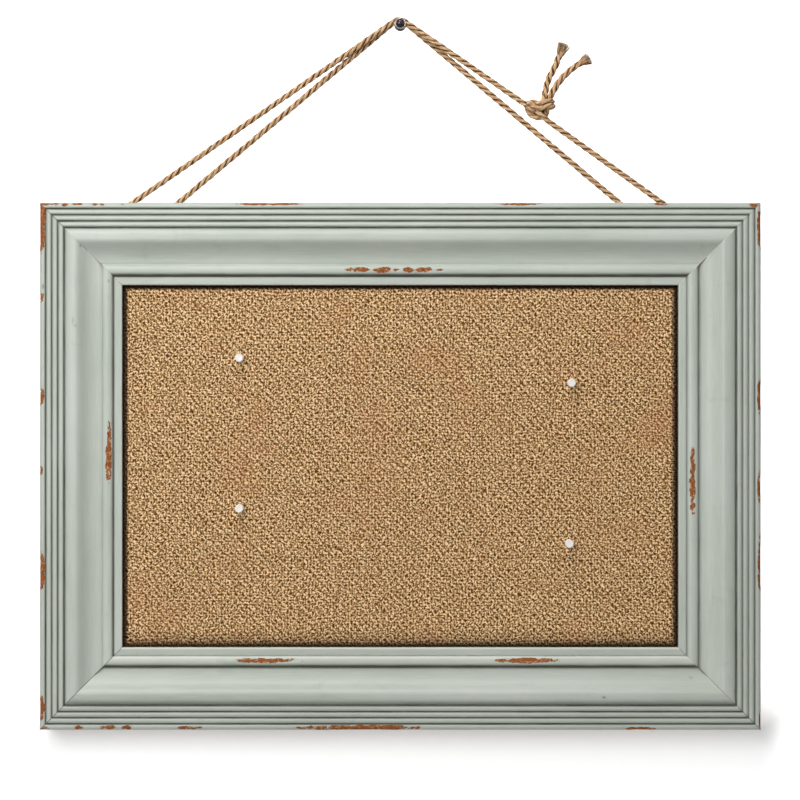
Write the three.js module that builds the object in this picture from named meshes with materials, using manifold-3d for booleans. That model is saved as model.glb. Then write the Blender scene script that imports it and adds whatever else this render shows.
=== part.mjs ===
// Cork board: a burlap covered pin board in a reeded, mitred picture frame, hung by twine from a nail.
// Millimetres. +X is right, +Z is up and +Y goes into the wall, so the board faces -Y.
// The origin is on the nail's axis, in the plane of the wall.

import * as THREE from "three";
import { mergeVertices } from "three/addons/utils/BufferGeometryUtils.js";
import Module from "manifold-3d";

const wasm = await Module();
wasm.setup();

// Gaps that every fit is worked out from
const seatGap = 0.3;
const panelGap = 0.4;
const cutOverrun = 2;
const weldDistance = 0.001;

// Frame
const sightWidth = 445.6;
const sightHeight = 290.3;
const mouldingWidth = 66;
const mitreGap = 0.3;
const frameDrop = 358.3;
const wallGap = 10;

// Moulding, measured from the outer edge and from the back of the rail
const rebateWidth = 6.2;
const rebateDepth = 20;
const lipThickness = 5;
const lipRound = 0.9;
const reedCount = 4;
const reedPitch = 5;
const reedFoot = 23.6;
const reedRise = 1;
const reedCrown = 2.9;
const reedShoulderShare = 0.12;
const quirkWidth = 0.8;
const crestHeight = 33;
const crestPlaceShare = 0.316;
const hollowHeight = 24.4;
const hollowPullShares = { crest: 0.27, hollow: 0.62 };
const swellPullShares = { rise: 0.72, run: 0.5 };
const beadFillet = 2;
const beadWidth = 9.2;
const beadCrown = 4.4;
const beadSink = 0.5;
const bandWidth = 6;

// Panel: the cork raises the cloth inside the sight opening, and the fibreboard reaches under the lip
const clothThickness = 1.3;
const clothReturn = 25;
const clothEdgeRound = 4;
const clothCornerRound = 3;
const padGap = 1.2;
const padRound = 3.6;
const corkThickness = 3;
const fibreboardThickness = 9.5;
const backingThickness = 3.2;

// Push pins: places from the middle of the board
const pinHeadRadius = 3.3;
const pinHeadDepth = 3.4;
const pinWaistRadius = 2;
const pinFootRadius = 3.2;
const pinFootDepth = 1.3;
const pinLength = 10.6;
const pinEdgeRound = 0.5;
const pinDishDepth = 0.35;
const needleRadius = 0.55;
const needleReach = 10;
const needleHold = 6;
const needleTipLength = 2;
const leftPinReach = 128.6;
const rightPinReach = 135;
const rightPinStagger = 1.7;
const upperLeftPinHeight = 86.8;
const upperRightPinHeight = 66.8;
const lowerLeftPinDrop = 33.4;
const lowerRightPinDrop = 61.6;

// Corner wedges: V nails pressed across each mitre from behind
const wedgeDepth = 10;
const wedgeThickness = 0.6;
const wedgeWing = 6;
const wedgePlaceShares = { outer: 0.3, inner: 0.7 };

// Framer's points that hold the panel in the rebate
const pointLength = 15;
const pointBite = 6;
const pointWidth = 6;
const pointThickness = 0.6;
const pointTaper = 4;
const pointSpreadShares = { long: 0.66, short: 0.56 };

// Staples that hold the cloth's returns
const stapleCrown = 10;
const stapleWire = 0.6;
const stapleInset = 13;
const stapleDepthShare = 0.75;
const stapleSpreadShares = { long: 0.72, short: 0.42 };

// Screw eyes on the back of the top rail
const eyeWireRadius = 0.9;
const eyeHoleRadius = 2.7;
const eyeTopInset = 22.25;
const leftEyeInset = 47.4;
const leftEyeSpacing = 32.1;
const rightEyeInset = 53.1;
const rightEyeSpacing = 29;
const outerEyeTurn = THREE.MathUtils.degToRad(24);
const innerEyeTurn = THREE.MathUtils.degToRad(64);
const eyeShankLength = 11;
const eyeTipLength = 3;

// Rubber bumpers behind the bottom corners
const bumperRadius = 6.4;
const bumperFaceRadius = 4.6;
const bumperInset = 24;
const bumperRound = 0.8;

// Nail
const nailShankRadius = 1;
const nailHeadRadius = 4.7;
const nailHeadDepth = 4.2;
const nailDomeRadius = 3.6;
const nailRimDepth = 1.1;
const nailRimBevel = 0.4;
const nailCollarRadius = 4.8;
const nailCollarDepth = 1.3;
const nailWallReach = 26;
const nailTipLength = 4;

// Twine
const twineRadius = 2;
const twineBend = 8;
const turnGap = 0.6;
const bendStep = THREE.MathUtils.degToRad(17);
const runStep = 38;

// The twine's route: the corners of one loop, from the knot over the nail, down through the left
// eyes, over the nail again, down through the right eyes and back to the knot.
const loopCorners = [
  [103.5, -8.8, -66.85],
  [-0.8, -8.5, 5],
  [-270.4, -5.2, -181.8],
  [-209.4, -5.2, -169.3],
  [-0.8, -3.9, 5.75],
  [206.8, -5.2, -169.25],
  [265.35, -5.2, -182.75],
  [120, -8.8, -79.05],
];
const upperTailPoints = [
  [116.6, -9.2, -60],
  [119.6, -10, -46.6],
  [125.8, -10.9, -34],
  [131.3, -11.6, -19.5],
];
const lowerTailPoints = [
  [121, -9.4, -60],
  [129.2, -10.4, -46.6],
  [140, -11.4, -36.2],
  [152.4, -12.2, -28.6],
];
const tailSteps = 7;

// Knot: both ends tied together in one overhand. Each end's route is measured from the knot's middle:
// the first comes from the nail, the second from the right outer eye.
const knotCentre = [114, -9, -68.5];
const firstEndPoints = [
  [-10.5, 0.2, 1.65],
  [-7.2, -0.4, -0.6],
  [-4.6, 1, -2.3],
  [-2, 4.4, -2],
  [2.4, 6.8, 1.2],
  [6.8, 4.6, 4],
  [9.2, 0.9, 5.2],
  [7.4, -2.8, 5.6],
  [2.6, -4.6, 4.9],
  [-2.4, -4.2, 3.2],
  [-6, -1, 5],
  [-8.2, 3, 4.4],
  [-7.4, 6.4, 0.6],
  [-6.2, 6, -4.2],
  [-2, 4.4, -6.4],
  [1.8, 4.6, -4],
  [2.6, 2.6, -0.2],
  [2.2, 0.8, 3.8],
  [2.6, -0.2, 8.5],
];
const secondEndPoints = [
  [6, 0.2, -10.55],
  [2.4, -1.6, -7.6],
  [-0.6, -2.6, -4.9],
  [-2.5, -1.4, -2.9],
  [-0.4, 1.2, -1.4],
  [3.4, 3.6, 0.4],
  [7.4, 3.2, 1.2],
  [9.8, 0, 1.4],
  [7.8, -3.2, 1.9],
  [3, -4.2, 0.9],
  [-1.4, -4.5, -0.4],
  [-5.4, -4, 1.4],
  [-9.3, -2, 4],
  [-11, 2.6, 2.6],
  [-9.8, 4, -2.8],
  [-5.8, 1.8, -6.4],
  [-0.8, 1.4, -7.4],
  [3.6, 1.8, -5.2],
  [5.2, 0.4, -1],
  [6.6, 0.1, 3.8],
  [7, -0.4, 8.5],
];

// Facets
const mouldingSteps = 7;
const roundSteps = 20;
const wireSteps = 8;
const ringSteps = 20;
const edgeSteps = 3;
const twineSides = 8;
const knotSteps = 36;
const gapStep = 1;

// Sizes that follow
const frameWidth = sightWidth + 2 * mouldingWidth;
const frameHeight = sightHeight + 2 * mouldingWidth;
const bandHeight = rebateDepth + lipThickness;
const rebateReach = mouldingWidth - rebateWidth;
const swellReach = reedCount * reedPitch + quirkWidth;
const beadReach = mouldingWidth - bandWidth - quirkWidth - beadWidth;
const hollowReach = beadReach - beadFillet;
const crestReach = swellReach + crestPlaceShare * (hollowReach - swellReach);
const panelWidth = sightWidth + 2 * (rebateWidth - panelGap);
const panelHeight = sightHeight + 2 * (rebateWidth - panelGap);
const padWidth = sightWidth - 2 * padGap;
const padHeight = sightHeight - 2 * padGap;
const coverDepth = clothThickness + seatGap;
const coreWidth = panelWidth - 2 * coverDepth;
const coreHeight = panelHeight - 2 * coverDepth;
const flangeFront = -(rebateDepth - seatGap);
const clothFront = flangeFront - corkThickness - seatGap;
const corkFront = clothFront + coverDepth;
const fibreboardFront = corkFront + corkThickness + seatGap;
const fibreboardBack = fibreboardFront + fibreboardThickness;
const clothBack = fibreboardBack + seatGap + clothThickness;
const stapleFront = clothBack + seatGap;
const backingFront = stapleFront + stapleWire + seatGap;
const backingBack = backingFront + backingThickness;
const pointFront = backingBack + seatGap;
const eyeRingRadius = eyeHoleRadius + eyeWireRadius;
const eyeStandoff = seatGap + eyeHoleRadius + 2 * eyeWireRadius;
const nailWaistFront = nailCollarDepth + 2 * (2 * twineRadius + turnGap) + turnGap;

// Solids and geometries

function solidOf(geometry) {
  const loose = geometry.index ? geometry.toNonIndexed() : geometry;
  const bare = new THREE.BufferGeometry();
  bare.setAttribute("position", loose.getAttribute("position").clone());
  const welded = mergeVertices(bare, weldDistance);
  const mesh = new wasm.Mesh({
    numProp: 3,
    vertProperties: new Float32Array(welded.attributes.position.array),
    triVerts: new Uint32Array(welded.index.array),
  });
  return new wasm.Manifold(mesh);
}

function geometryOf(solid) {
  const mesh = solid.getMesh();
  const geometry = new THREE.BufferGeometry();
  geometry.setAttribute("position", new THREE.BufferAttribute(new Float32Array(mesh.vertProperties), 3));
  geometry.setIndex(new THREE.BufferAttribute(new Uint32Array(mesh.triVerts), 1));
  geometry.computeVertexNormals();
  return geometry;
}

function joined(geometries) {
  return geometries.map(solidOf).reduce((whole, piece) => whole.add(piece));
}

function box(low, high) {
  const size = high.map((value, axis) => value - low[axis]);
  const middle = high.map((value, axis) => (value + low[axis]) / 2);
  return new THREE.BoxGeometry(...size).translate(...middle);
}

function polygon(points) {
  return new THREE.Shape(points.map(([x, y]) => new THREE.Vector2(x, y)));
}

// A plate drawn in X and Z, with its front face at y = front and its back face at y = back.
function plate(shape, front, back) {
  const geometry = new THREE.ExtrudeGeometry(shape, { depth: back - front, bevelEnabled: false });
  return geometry.rotateX(Math.PI / 2).translate(0, back, 0);
}

// A turned piece about the Y axis, from a profile of [radius, y] points.
function turned(profile, steps) {
  return new THREE.LatheGeometry(polygonPoints(profile), steps);
}

function polygonPoints(points) {
  return points.map(([x, y]) => new THREE.Vector2(x, y));
}

function arcPoints(centre, radii, fromAngle, toAngle, steps) {
  const points = [];
  for (let step = 0; step <= steps; step++) {
    const angle = fromAngle + ((toAngle - fromAngle) * step) / steps;
    points.push([centre[0] + radii[0] * Math.cos(angle), centre[1] + radii[1] * Math.sin(angle)]);
  }
  return points;
}

function placed(geometry, position, turn) {
  return geometry.clone().rotateY(turn).translate(...position);
}

function looks(colour, roughness, metalness) {
  return () => new THREE.MeshStandardMaterial({ color: colour, roughness, metalness });
}

const paintLook = looks(0x8f978c, 0.55, 0);
const clothLook = looks(0xb08d5e, 0.95, 0);
const corkLook = looks(0xb98a5a, 0.9, 0);
const fibreboardLook = looks(0x9a7850, 0.9, 0);
const hardboardLook = looks(0x6b4a2f, 0.7, 0);
const pinLook = looks(0xf0ece6, 0.3, 0);
const steelLook = looks(0xb4b4b0, 0.35, 1);
const brassLook = looks(0xb8a068, 0.35, 1);
const nailLook = looks(0x3a3a3d, 0.25, 1);
const rubberLook = looks(0x2b2b2b, 0.85, 0);
const twineLook = looks(0xb98f62, 0.95, 0);

// Everything that hangs is in one group about the middle of the frame's back plane.
const corkBoard = new THREE.Group();
const hungBoard = new THREE.Group();
hungBoard.position.set(0, -wallGap, -frameDrop);
corkBoard.add(hungBoard);

function addPiece(group, name, geometry, look, position = [0, 0, 0], turn = 0) {
  const piece = new THREE.Mesh(geometry, look());
  piece.name = name;
  piece.position.set(...position);
  piece.rotation.y = turn;
  group.add(piece);
  return piece;
}

// Moulding: four reeds, a swelling crest that falls to a hollow, a bead and a flat band at the sight edge
function mouldingOutline() {
  const outline = new THREE.Shape();
  outline.moveTo(0, 0);
  outline.lineTo(0, reedFoot);
  for (let reed = 0; reed < reedCount; reed++) {
    const from = reed * reedPitch;
    const to = from + reedPitch;
    const foot = reedFoot + reed * reedRise;
    const shoulder = reedPitch * reedShoulderShare;
    outline.bezierCurveTo(
      from + shoulder,
      foot + reedCrown,
      to - shoulder,
      foot + reedRise + reedCrown,
      to,
      foot + reedRise,
    );
  }
  const swellHeight = reedFoot + reedCount * reedRise;
  const swellRise = crestHeight - swellHeight;
  const swellRun = crestReach - swellReach;
  outline.lineTo(swellReach, swellHeight);
  outline.bezierCurveTo(
    swellReach,
    swellHeight + swellRise * swellPullShares.rise,
    crestReach - swellRun * swellPullShares.run,
    crestHeight,
    crestReach,
    crestHeight,
  );
  const fallRun = hollowReach - crestReach;
  outline.bezierCurveTo(
    crestReach + fallRun * hollowPullShares.crest,
    crestHeight,
    hollowReach - fallRun * hollowPullShares.hollow,
    hollowHeight,
    hollowReach,
    hollowHeight,
  );
  const beadFoot = hollowHeight - beadSink;
  outline.lineTo(beadReach, beadFoot);
  outline.bezierCurveTo(
    beadReach,
    beadFoot + beadCrown,
    beadReach + beadWidth,
    beadFoot + beadCrown,
    beadReach + beadWidth,
    beadFoot,
  );
  outline.lineTo(beadReach + beadWidth + quirkWidth, bandHeight);
  outline.lineTo(mouldingWidth - lipRound, bandHeight);
  outline.quadraticCurveTo(mouldingWidth, bandHeight, mouldingWidth, bandHeight - lipRound);
  outline.lineTo(mouldingWidth, rebateDepth);
  outline.lineTo(rebateReach, rebateDepth);
  outline.lineTo(rebateReach, 0);
  outline.closePath();
  return outline;
}

// A rail is drawn as the top one, mitred by sliding each end of the outline in by its distance from
// the outer edge, and then turned to its side of the frame.
function railGeometry(length, reach, turn) {
  const settings = { depth: length, steps: 1, bevelEnabled: false, curveSegments: mouldingSteps };
  const geometry = new THREE.ExtrudeGeometry(mouldingOutline(), settings);
  const position = geometry.getAttribute("position");
  const endInset = mitreGap / Math.SQRT2;
  for (let index = 0; index < position.count; index++) {
    const side = position.getZ(index) > length / 2 ? 1 : -1;
    const inset = position.getX(index) + endInset;
    position.setZ(index, side * (length / 2 - inset));
  }
  const inward = new THREE.Vector3(0, 0, -1);
  const forward = new THREE.Vector3(0, -1, 0);
  const along = new THREE.Vector3().crossVectors(inward, forward);
  geometry.applyMatrix4(new THREE.Matrix4().makeBasis(inward, forward, along));
  return geometry.translate(0, 0, reach).rotateY(turn);
}

const rails = [
  { name: "top_rail", length: frameWidth, reach: frameHeight / 2, turn: 0 },
  { name: "right_rail", length: frameHeight, reach: frameWidth / 2, turn: Math.PI / 2 },
  { name: "bottom_rail", length: frameWidth, reach: frameHeight / 2, turn: Math.PI },
  { name: "left_rail", length: frameHeight, reach: frameWidth / 2, turn: -Math.PI / 2 },
];

// Corner wedge: a bent strip whose two wings bite into the two rails
function wedgeGeometry(ease) {
  const half = wedgeThickness / 2 + ease;
  const wing = wedgeWing + ease;
  const outline = polygon([
    [0, half * Math.SQRT2],
    [-wing, wing + half * Math.SQRT2],
    [-wing - half * Math.SQRT2, wing],
    [0, -half * Math.SQRT2],
    [wing + half * Math.SQRT2, wing],
    [wing, wing + half * Math.SQRT2],
  ]);
  return plate(outline, -wedgeDepth - ease, -seatGap + ease * 2);
}

const wedges = [];
for (const [row, sideZ] of [["upper", 1], ["lower", -1]]) {
  for (const [column, sideX] of [["left", -1], ["right", 1]]) {
    for (const [place, share] of Object.entries(wedgePlaceShares)) {
      const reach = share * rebateReach;
      wedges.push({
        name: `${row}_${column}_${place}_wedge`,
        position: [sideX * (frameWidth / 2 - reach), 0, sideZ * (frameHeight / 2 - reach)],
        turn: Math.atan2(sideX, sideZ),
      });
    }
  }
}

// Framer's point: a flat steel tab with an arrow end, drawn pointing up into the top rail
function pointGeometry(ease) {
  const half = pointWidth / 2 + ease;
  const tip = pointBite + ease;
  const tail = pointBite - pointLength - ease;
  const outline = polygon([
    [-half, tail],
    [half, tail],
    [half, tip - pointTaper],
    [0, tip],
    [-half, tip - pointTaper],
  ]);
  return plate(outline, pointFront - ease, pointFront + pointThickness + ease);
}

const points = [];
for (const { name, reach, turn } of rails) {
  const side = name.replace("_rail", "");
  const isLong = side === "top" || side === "bottom";
  const spread = isLong
    ? (pointSpreadShares.long * sightWidth) / 2
    : (pointSpreadShares.short * sightHeight) / 2;
  const shares = isLong ? [-1, 0, 1] : [-1, 1];
  shares.forEach((share, order) => {
    const start = new THREE.Vector3(share * spread, 0, reach - rebateReach);
    start.applyAxisAngle(new THREE.Vector3(0, 1, 0), turn);
    points.push({ name: `${side}_point_${order + 1}`, position: start.toArray(), turn });
  });
}

// Staple: a crown and two legs through the cloth's return into the fibreboard
function stapleGeometry(ease) {
  const half = stapleWire / 2 + ease;
  const outer = stapleCrown / 2 + ease;
  const inner = outer - stapleWire - 2 * ease;
  const crownBack = stapleFront + stapleWire + ease;
  const crownFront = stapleFront - ease;
  const legTip = fibreboardBack - stapleDepthShare * fibreboardThickness - ease;
  const outline = polygon([
    [-outer, legTip],
    [-outer, crownBack],
    [outer, crownBack],
    [outer, legTip],
    [inner, legTip],
    [inner, crownFront],
    [-inner, crownFront],
    [-inner, legTip],
  ]);
  const settings = { depth: 2 * half, bevelEnabled: false };
  return new THREE.ExtrudeGeometry(outline, settings).translate(0, 0, -half);
}

const staples = [];
for (const { name, turn } of rails) {
  const side = name.replace("_rail", "");
  const isLong = side === "top" || side === "bottom";
  const reach = (isLong ? coreHeight : coreWidth) / 2 - stapleInset;
  const spread = isLong
    ? (stapleSpreadShares.long * coreWidth) / 2
    : (stapleSpreadShares.short * coreHeight) / 2;
  const shares = isLong ? [-1, 0, 1] : [-1, 1];
  shares.forEach((share, order) => {
    const start = new THREE.Vector3(share * spread, 0, reach);
    start.applyAxisAngle(new THREE.Vector3(0, 1, 0), turn);
    staples.push({ name: `${side}_staple_${order + 1}`, position: start.toArray(), turn });
  });
}

// Screw eye: a ring on a pointed shank, drawn about the ring's middle
function eyeShankGeometry(ease) {
  const radius = eyeWireRadius + ease;
  const start = -eyeRingRadius;
  const end = -eyeStandoff - eyeShankLength - ease;
  const profile = [[0, start], [radius, start], [radius, end + eyeTipLength], [0, end]];
  return turned(profile.reverse(), wireSteps);
}

function eyeGeometry() {
  const ring = new THREE.TorusGeometry(eyeRingRadius, eyeWireRadius, wireSteps, ringSteps);
  return geometryOf(joined([ring, eyeShankGeometry(0)]));
}

const eyes = [
  { name: "left_outer_screw_eye", inset: leftEyeInset, side: -1, turn: -outerEyeTurn },
  { name: "left_inner_screw_eye", inset: leftEyeInset + leftEyeSpacing, side: -1, turn: innerEyeTurn },
  { name: "right_inner_screw_eye", inset: rightEyeInset + rightEyeSpacing, side: 1, turn: -innerEyeTurn },
  { name: "right_outer_screw_eye", inset: rightEyeInset, side: 1, turn: outerEyeTurn },
].map(({ name, inset, side, turn }) => ({
  name,
  turn,
  position: [side * (frameWidth / 2 - inset), eyeStandoff, frameHeight / 2 - eyeTopInset],
}));

// Push pin: a spool-shaped plastic head with a blind hole that holds the needle
function pinProfile() {
  const headBack = -pinLength + pinHeadDepth;
  const rim = pinHeadRadius - pinEdgeRound;
  const quarter = Math.PI / 2;
  return [
    [0, 0],
    [pinFootRadius - pinEdgeRound, 0],
    [pinFootRadius, -pinEdgeRound],
    [pinFootRadius, -pinFootDepth + pinEdgeRound],
    [pinFootRadius - pinEdgeRound, -pinFootDepth],
    ...arcPoints(
      [pinFootRadius - pinEdgeRound, (headBack - pinFootDepth) / 2],
      [pinFootRadius - pinEdgeRound - pinWaistRadius, (-headBack - pinFootDepth) / 2],
      quarter,
      3 * quarter,
      2 * edgeSteps,
    ).slice(1),
    [pinHeadRadius, headBack - pinEdgeRound],
    ...arcPoints([rim, -pinLength + pinEdgeRound], [pinEdgeRound, pinEdgeRound], 0, -quarter, edgeSteps),
    [0, -pinLength + pinDishDepth],
  ];
}

function pinHeadGeometry() {
  const body = solidOf(turned(pinProfile().reverse(), roundSteps));
  const hole = turned(needleProfile(seatGap), wireSteps);
  return geometryOf(body.subtract(solidOf(hole)));
}

function needleProfile(ease) {
  const radius = needleRadius + ease;
  const tip = needleReach + ease;
  return [
    [0, -needleHold - ease],
    [radius, -needleHold - ease],
    [radius, tip - needleTipLength],
    [0, tip],
  ];
}

const pins = [
  { name: "upper_left_pin", x: -leftPinReach, z: upperLeftPinHeight },
  { name: "upper_right_pin", x: rightPinReach + rightPinStagger, z: upperRightPinHeight },
  { name: "lower_left_pin", x: -leftPinReach, z: -lowerLeftPinDrop },
  { name: "lower_right_pin", x: rightPinReach, z: -lowerRightPinDrop },
].map((pin) => ({ ...pin, position: [pin.x, clothFront - seatGap, pin.z] }));

// Frame: four rails, cut for what is driven into them
const frameSockets = joined([
  ...wedges.map((wedge) => placed(wedgeGeometry(seatGap), wedge.position, wedge.turn)),
  ...points.map((point) => placed(pointGeometry(seatGap), point.position, point.turn)),
  ...eyes.map((eye) => placed(eyeShankGeometry(seatGap), eye.position, 0)),
]);

for (const { name, length, reach, turn } of rails) {
  const rail = solidOf(railGeometry(length, reach, turn)).subtract(frameSockets);
  addPiece(hungBoard, name, geometryOf(rail), paintLook);
}
for (const { name, position, turn } of wedges) {
  addPiece(hungBoard, name, wedgeGeometry(0), steelLook, position, turn);
}
for (const { name, position, turn } of points) {
  addPiece(hungBoard, name, pointGeometry(0), steelLook, position, turn);
}
for (const { name, position, turn } of eyes) {
  addPiece(hungBoard, name, eyeGeometry(), brassLook, position, turn);
}

// A slab with round edges all about and round corners, between y = front and y = back
function roundedSlab(width, height, front, back, edgeRound, cornerRound) {
  const halfWidth = width / 2 - edgeRound;
  const halfHeight = height / 2 - edgeRound;
  const outline = new THREE.Shape();
  outline.moveTo(-halfWidth + cornerRound, -halfHeight);
  outline.lineTo(halfWidth - cornerRound, -halfHeight);
  outline.quadraticCurveTo(halfWidth, -halfHeight, halfWidth, -halfHeight + cornerRound);
  outline.lineTo(halfWidth, halfHeight - cornerRound);
  outline.quadraticCurveTo(halfWidth, halfHeight, halfWidth - cornerRound, halfHeight);
  outline.lineTo(-halfWidth + cornerRound, halfHeight);
  outline.quadraticCurveTo(-halfWidth, halfHeight, -halfWidth, halfHeight - cornerRound);
  outline.lineTo(-halfWidth, -halfHeight + cornerRound);
  outline.quadraticCurveTo(-halfWidth, -halfHeight, -halfWidth + cornerRound, -halfHeight);
  const geometry = new THREE.ExtrudeGeometry(outline, {
    depth: back - front - 2 * edgeRound,
    bevelEnabled: true,
    bevelThickness: edgeRound,
    bevelSize: edgeRound,
    bevelSegments: edgeSteps,
    curveSegments: edgeSteps,
  });
  return geometry.translate(0, 0, edgeRound).rotateX(Math.PI / 2).translate(0, back, 0);
}

// Panel: cork on fibreboard, wrapped in burlap that is stapled behind, with a hardboard back. An inset
// draws every side in, which takes as much off the round edges.
function flangeSlab(inset) {
  const edgeRound = clothEdgeRound - inset;
  const width = panelWidth - 2 * inset;
  const height = panelHeight - 2 * inset;
  const slab = [flangeFront + inset, clothBack - inset, edgeRound, clothCornerRound];
  return solidOf(roundedSlab(width, height, ...slab));
}

function padSlab(inset) {
  const edgeRound = padRound - inset;
  const width = padWidth - 2 * inset;
  const height = padHeight - 2 * inset;
  const slab = [clothFront + inset, fibreboardBack, edgeRound, clothCornerRound];
  return solidOf(roundedSlab(width, height, ...slab));
}

const clothOutside = flangeSlab(0).add(padSlab(0));
const clothHollow = flangeSlab(clothThickness).add(padSlab(clothThickness));
const clothWindow = solidOf(
  box(
    [-(panelWidth / 2 - clothReturn), fibreboardBack, -(panelHeight / 2 - clothReturn)],
    [panelWidth / 2 - clothReturn, clothBack + cutOverrun, panelHeight / 2 - clothReturn],
  ),
);
const needleBores = joined(
  pins.map((pin) => placed(turned(needleProfile(seatGap), wireSteps), pin.position, 0)),
);
const stapleBores = joined(
  staples.map((staple) => placed(stapleGeometry(seatGap), staple.position, staple.turn)),
);

const corkSlice = solidOf(
  box(
    [-padWidth / 2, corkFront - cutOverrun, -padHeight / 2],
    [padWidth / 2, corkFront + corkThickness, padHeight / 2],
  ),
);
const cork = padSlab(coverDepth).intersect(corkSlice).subtract(needleBores);
const fibreboard = flangeSlab(coverDepth).subtract(needleBores).subtract(stapleBores);
const cloth = clothOutside
  .subtract(clothHollow)
  .subtract(clothWindow)
  .subtract(needleBores)
  .subtract(stapleBores);
const backing = box(
  [-panelWidth / 2, backingFront, -panelHeight / 2],
  [panelWidth / 2, backingBack, panelHeight / 2],
);
addPiece(hungBoard, "burlap_cover", geometryOf(cloth), clothLook);
addPiece(hungBoard, "cork_sheet", geometryOf(cork), corkLook);
addPiece(hungBoard, "fibreboard_core", geometryOf(fibreboard), fibreboardLook);
addPiece(hungBoard, "hardboard_back", backing, hardboardLook);
for (const { name, position, turn } of staples) {
  addPiece(hungBoard, name, stapleGeometry(0), steelLook, position, turn);
}

// Pins: each is a plastic head on a steel needle
for (const { name, position } of pins) {
  const pin = new THREE.Group();
  pin.position.set(...position);
  addPiece(pin, `${name}_head`, pinHeadGeometry(), pinLook);
  addPiece(pin, `${name}_needle`, turned(needleProfile(0), wireSteps), steelLook);
  hungBoard.add(pin);
}

// Rubber bumpers that keep the bottom rail off the wall
function bumperGeometry() {
  const front = seatGap;
  const back = wallGap;
  return turned(
    [
      [0, front],
      [bumperRadius, front],
      [bumperRadius, front + bumperRound],
      [bumperFaceRadius + bumperRound, back - bumperRound],
      [bumperFaceRadius, back],
      [0, back],
    ],
    roundSteps,
  );
}

for (const [column, side] of [["left", -1], ["right", 1]]) {
  const position = [side * (frameWidth / 2 - bumperInset), 0, -frameHeight / 2 + bumperInset];
  addPiece(hungBoard, `${column}_bumper`, bumperGeometry(), rubberLook, position);
}

// Nail: a dome on a rim, a waist that carries the twine's two turns, a collar on the wall and a shank
function nailGeometry() {
  const rimFront = -nailWaistFront - nailRimDepth;
  const domeSize = [nailDomeRadius, nailHeadDepth - nailRimDepth];
  const dome = arcPoints([0, rimFront], domeSize, 0, -Math.PI / 2, 2 * edgeSteps).slice(0, -1);
  return turned(
    [
      [0, -nailWaistFront - nailHeadDepth],
      ...dome.reverse(),
      [nailHeadRadius - nailRimBevel, rimFront],
      [nailHeadRadius, rimFront + nailRimBevel],
      [nailHeadRadius, -nailWaistFront],
      [nailShankRadius, -nailWaistFront],
      [nailShankRadius, -nailCollarDepth],
      [nailCollarRadius, -nailCollarDepth],
      [nailCollarRadius, 0],
      [nailShankRadius, 0],
      [nailShankRadius, nailWallReach - nailTipLength],
      [0, nailWallReach],
    ],
    roundSteps,
  );
}

addPiece(corkBoard, "hanging_nail", nailGeometry(), nailLook);

// A route through hand-set corners, with a round bend at each and a ring wherever the tube needs one.
function roundedRoute(corners) {
  const places = corners.map((corner) => new THREE.Vector3(...corner));
  const rings = [places[0]];
  for (let index = 1; index < places.length - 1; index++) {
    const corner = places[index];
    const into = corner.clone().sub(places[index - 1]).normalize();
    const out = places[index + 1].clone().sub(corner).normalize();
    const bend = into.angleTo(out);
    const tangent = twineBend * Math.tan(bend / 2);
    const inward = out.clone().sub(into).normalize();
    const centre = corner.clone().addScaledVector(inward, twineBend / Math.cos(bend / 2));
    const start = corner.clone().addScaledVector(into, -tangent);
    const axis = new THREE.Vector3().crossVectors(into, out).normalize();
    addRun(rings, start);
    const steps = Math.ceil(bend / bendStep);
    for (let step = 1; step <= steps; step++) {
      const spoke = start.clone().sub(centre).applyAxisAngle(axis, (bend * step) / steps);
      rings.push(centre.clone().add(spoke));
    }
  }
  addRun(rings, places[places.length - 1]);
  return rings;
}

function addRun(rings, end) {
  const start = rings[rings.length - 1];
  const steps = Math.max(1, Math.round(start.distanceTo(end) / runStep));
  for (let step = 1; step <= steps; step++) {
    rings.push(start.clone().lerp(end, step / steps));
  }
}

// A curve whose steps fall on the given rings, close together in the bends and far apart in the runs
class RingCurve extends THREE.Curve {
  constructor(rings) {
    super();
    this.rings = rings;
  }
  getPoint(share, target = new THREE.Vector3()) {
    const last = this.rings.length - 1;
    const place = Math.min(Math.max(share, 0), 1) * last;
    const index = Math.min(Math.floor(place), last - 1);
    return target.lerpVectors(this.rings[index], this.rings[index + 1], place - index);
  }
  getUtoTmapping(share) {
    return share;
  }
}

function tubeGeometry(curve, steps, radius) {
  const section = new THREE.Shape();
  for (let side = 0; side < twineSides; side++) {
    const angle = (side * 2 * Math.PI) / twineSides;
    const corner = [radius * Math.cos(angle), radius * Math.sin(angle)];
    if (side === 0) {
      section.moveTo(...corner);
    } else {
      section.lineTo(...corner);
    }
  }
  return new THREE.ExtrudeGeometry(section, { steps, extrudePath: curve, bevelEnabled: false });
}

// The least gap that a tube leaves to itself, measured between points along its route that are more
// than three diameters apart on it.
function leastGap(rings, radius) {
  const points = [];
  let travelled = 0;
  for (let index = 1; index < rings.length; index++) {
    const length = rings[index].distanceTo(rings[index - 1]);
    const steps = Math.ceil(length / gapStep);
    for (let step = 0; step < steps; step++) {
      const share = step / steps;
      points.push({
        place: rings[index - 1].clone().lerp(rings[index], share),
        travelled: travelled + share * length,
      });
    }
    travelled += length;
  }
  let least = Infinity;
  points.forEach((point, index) => {
    for (const other of points.slice(index + 1)) {
      if (other.travelled - point.travelled > 6 * radius) {
        least = Math.min(least, point.place.distanceTo(other.place));
      }
    }
  });
  return { length: travelled, gap: least - 2 * radius };
}

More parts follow.
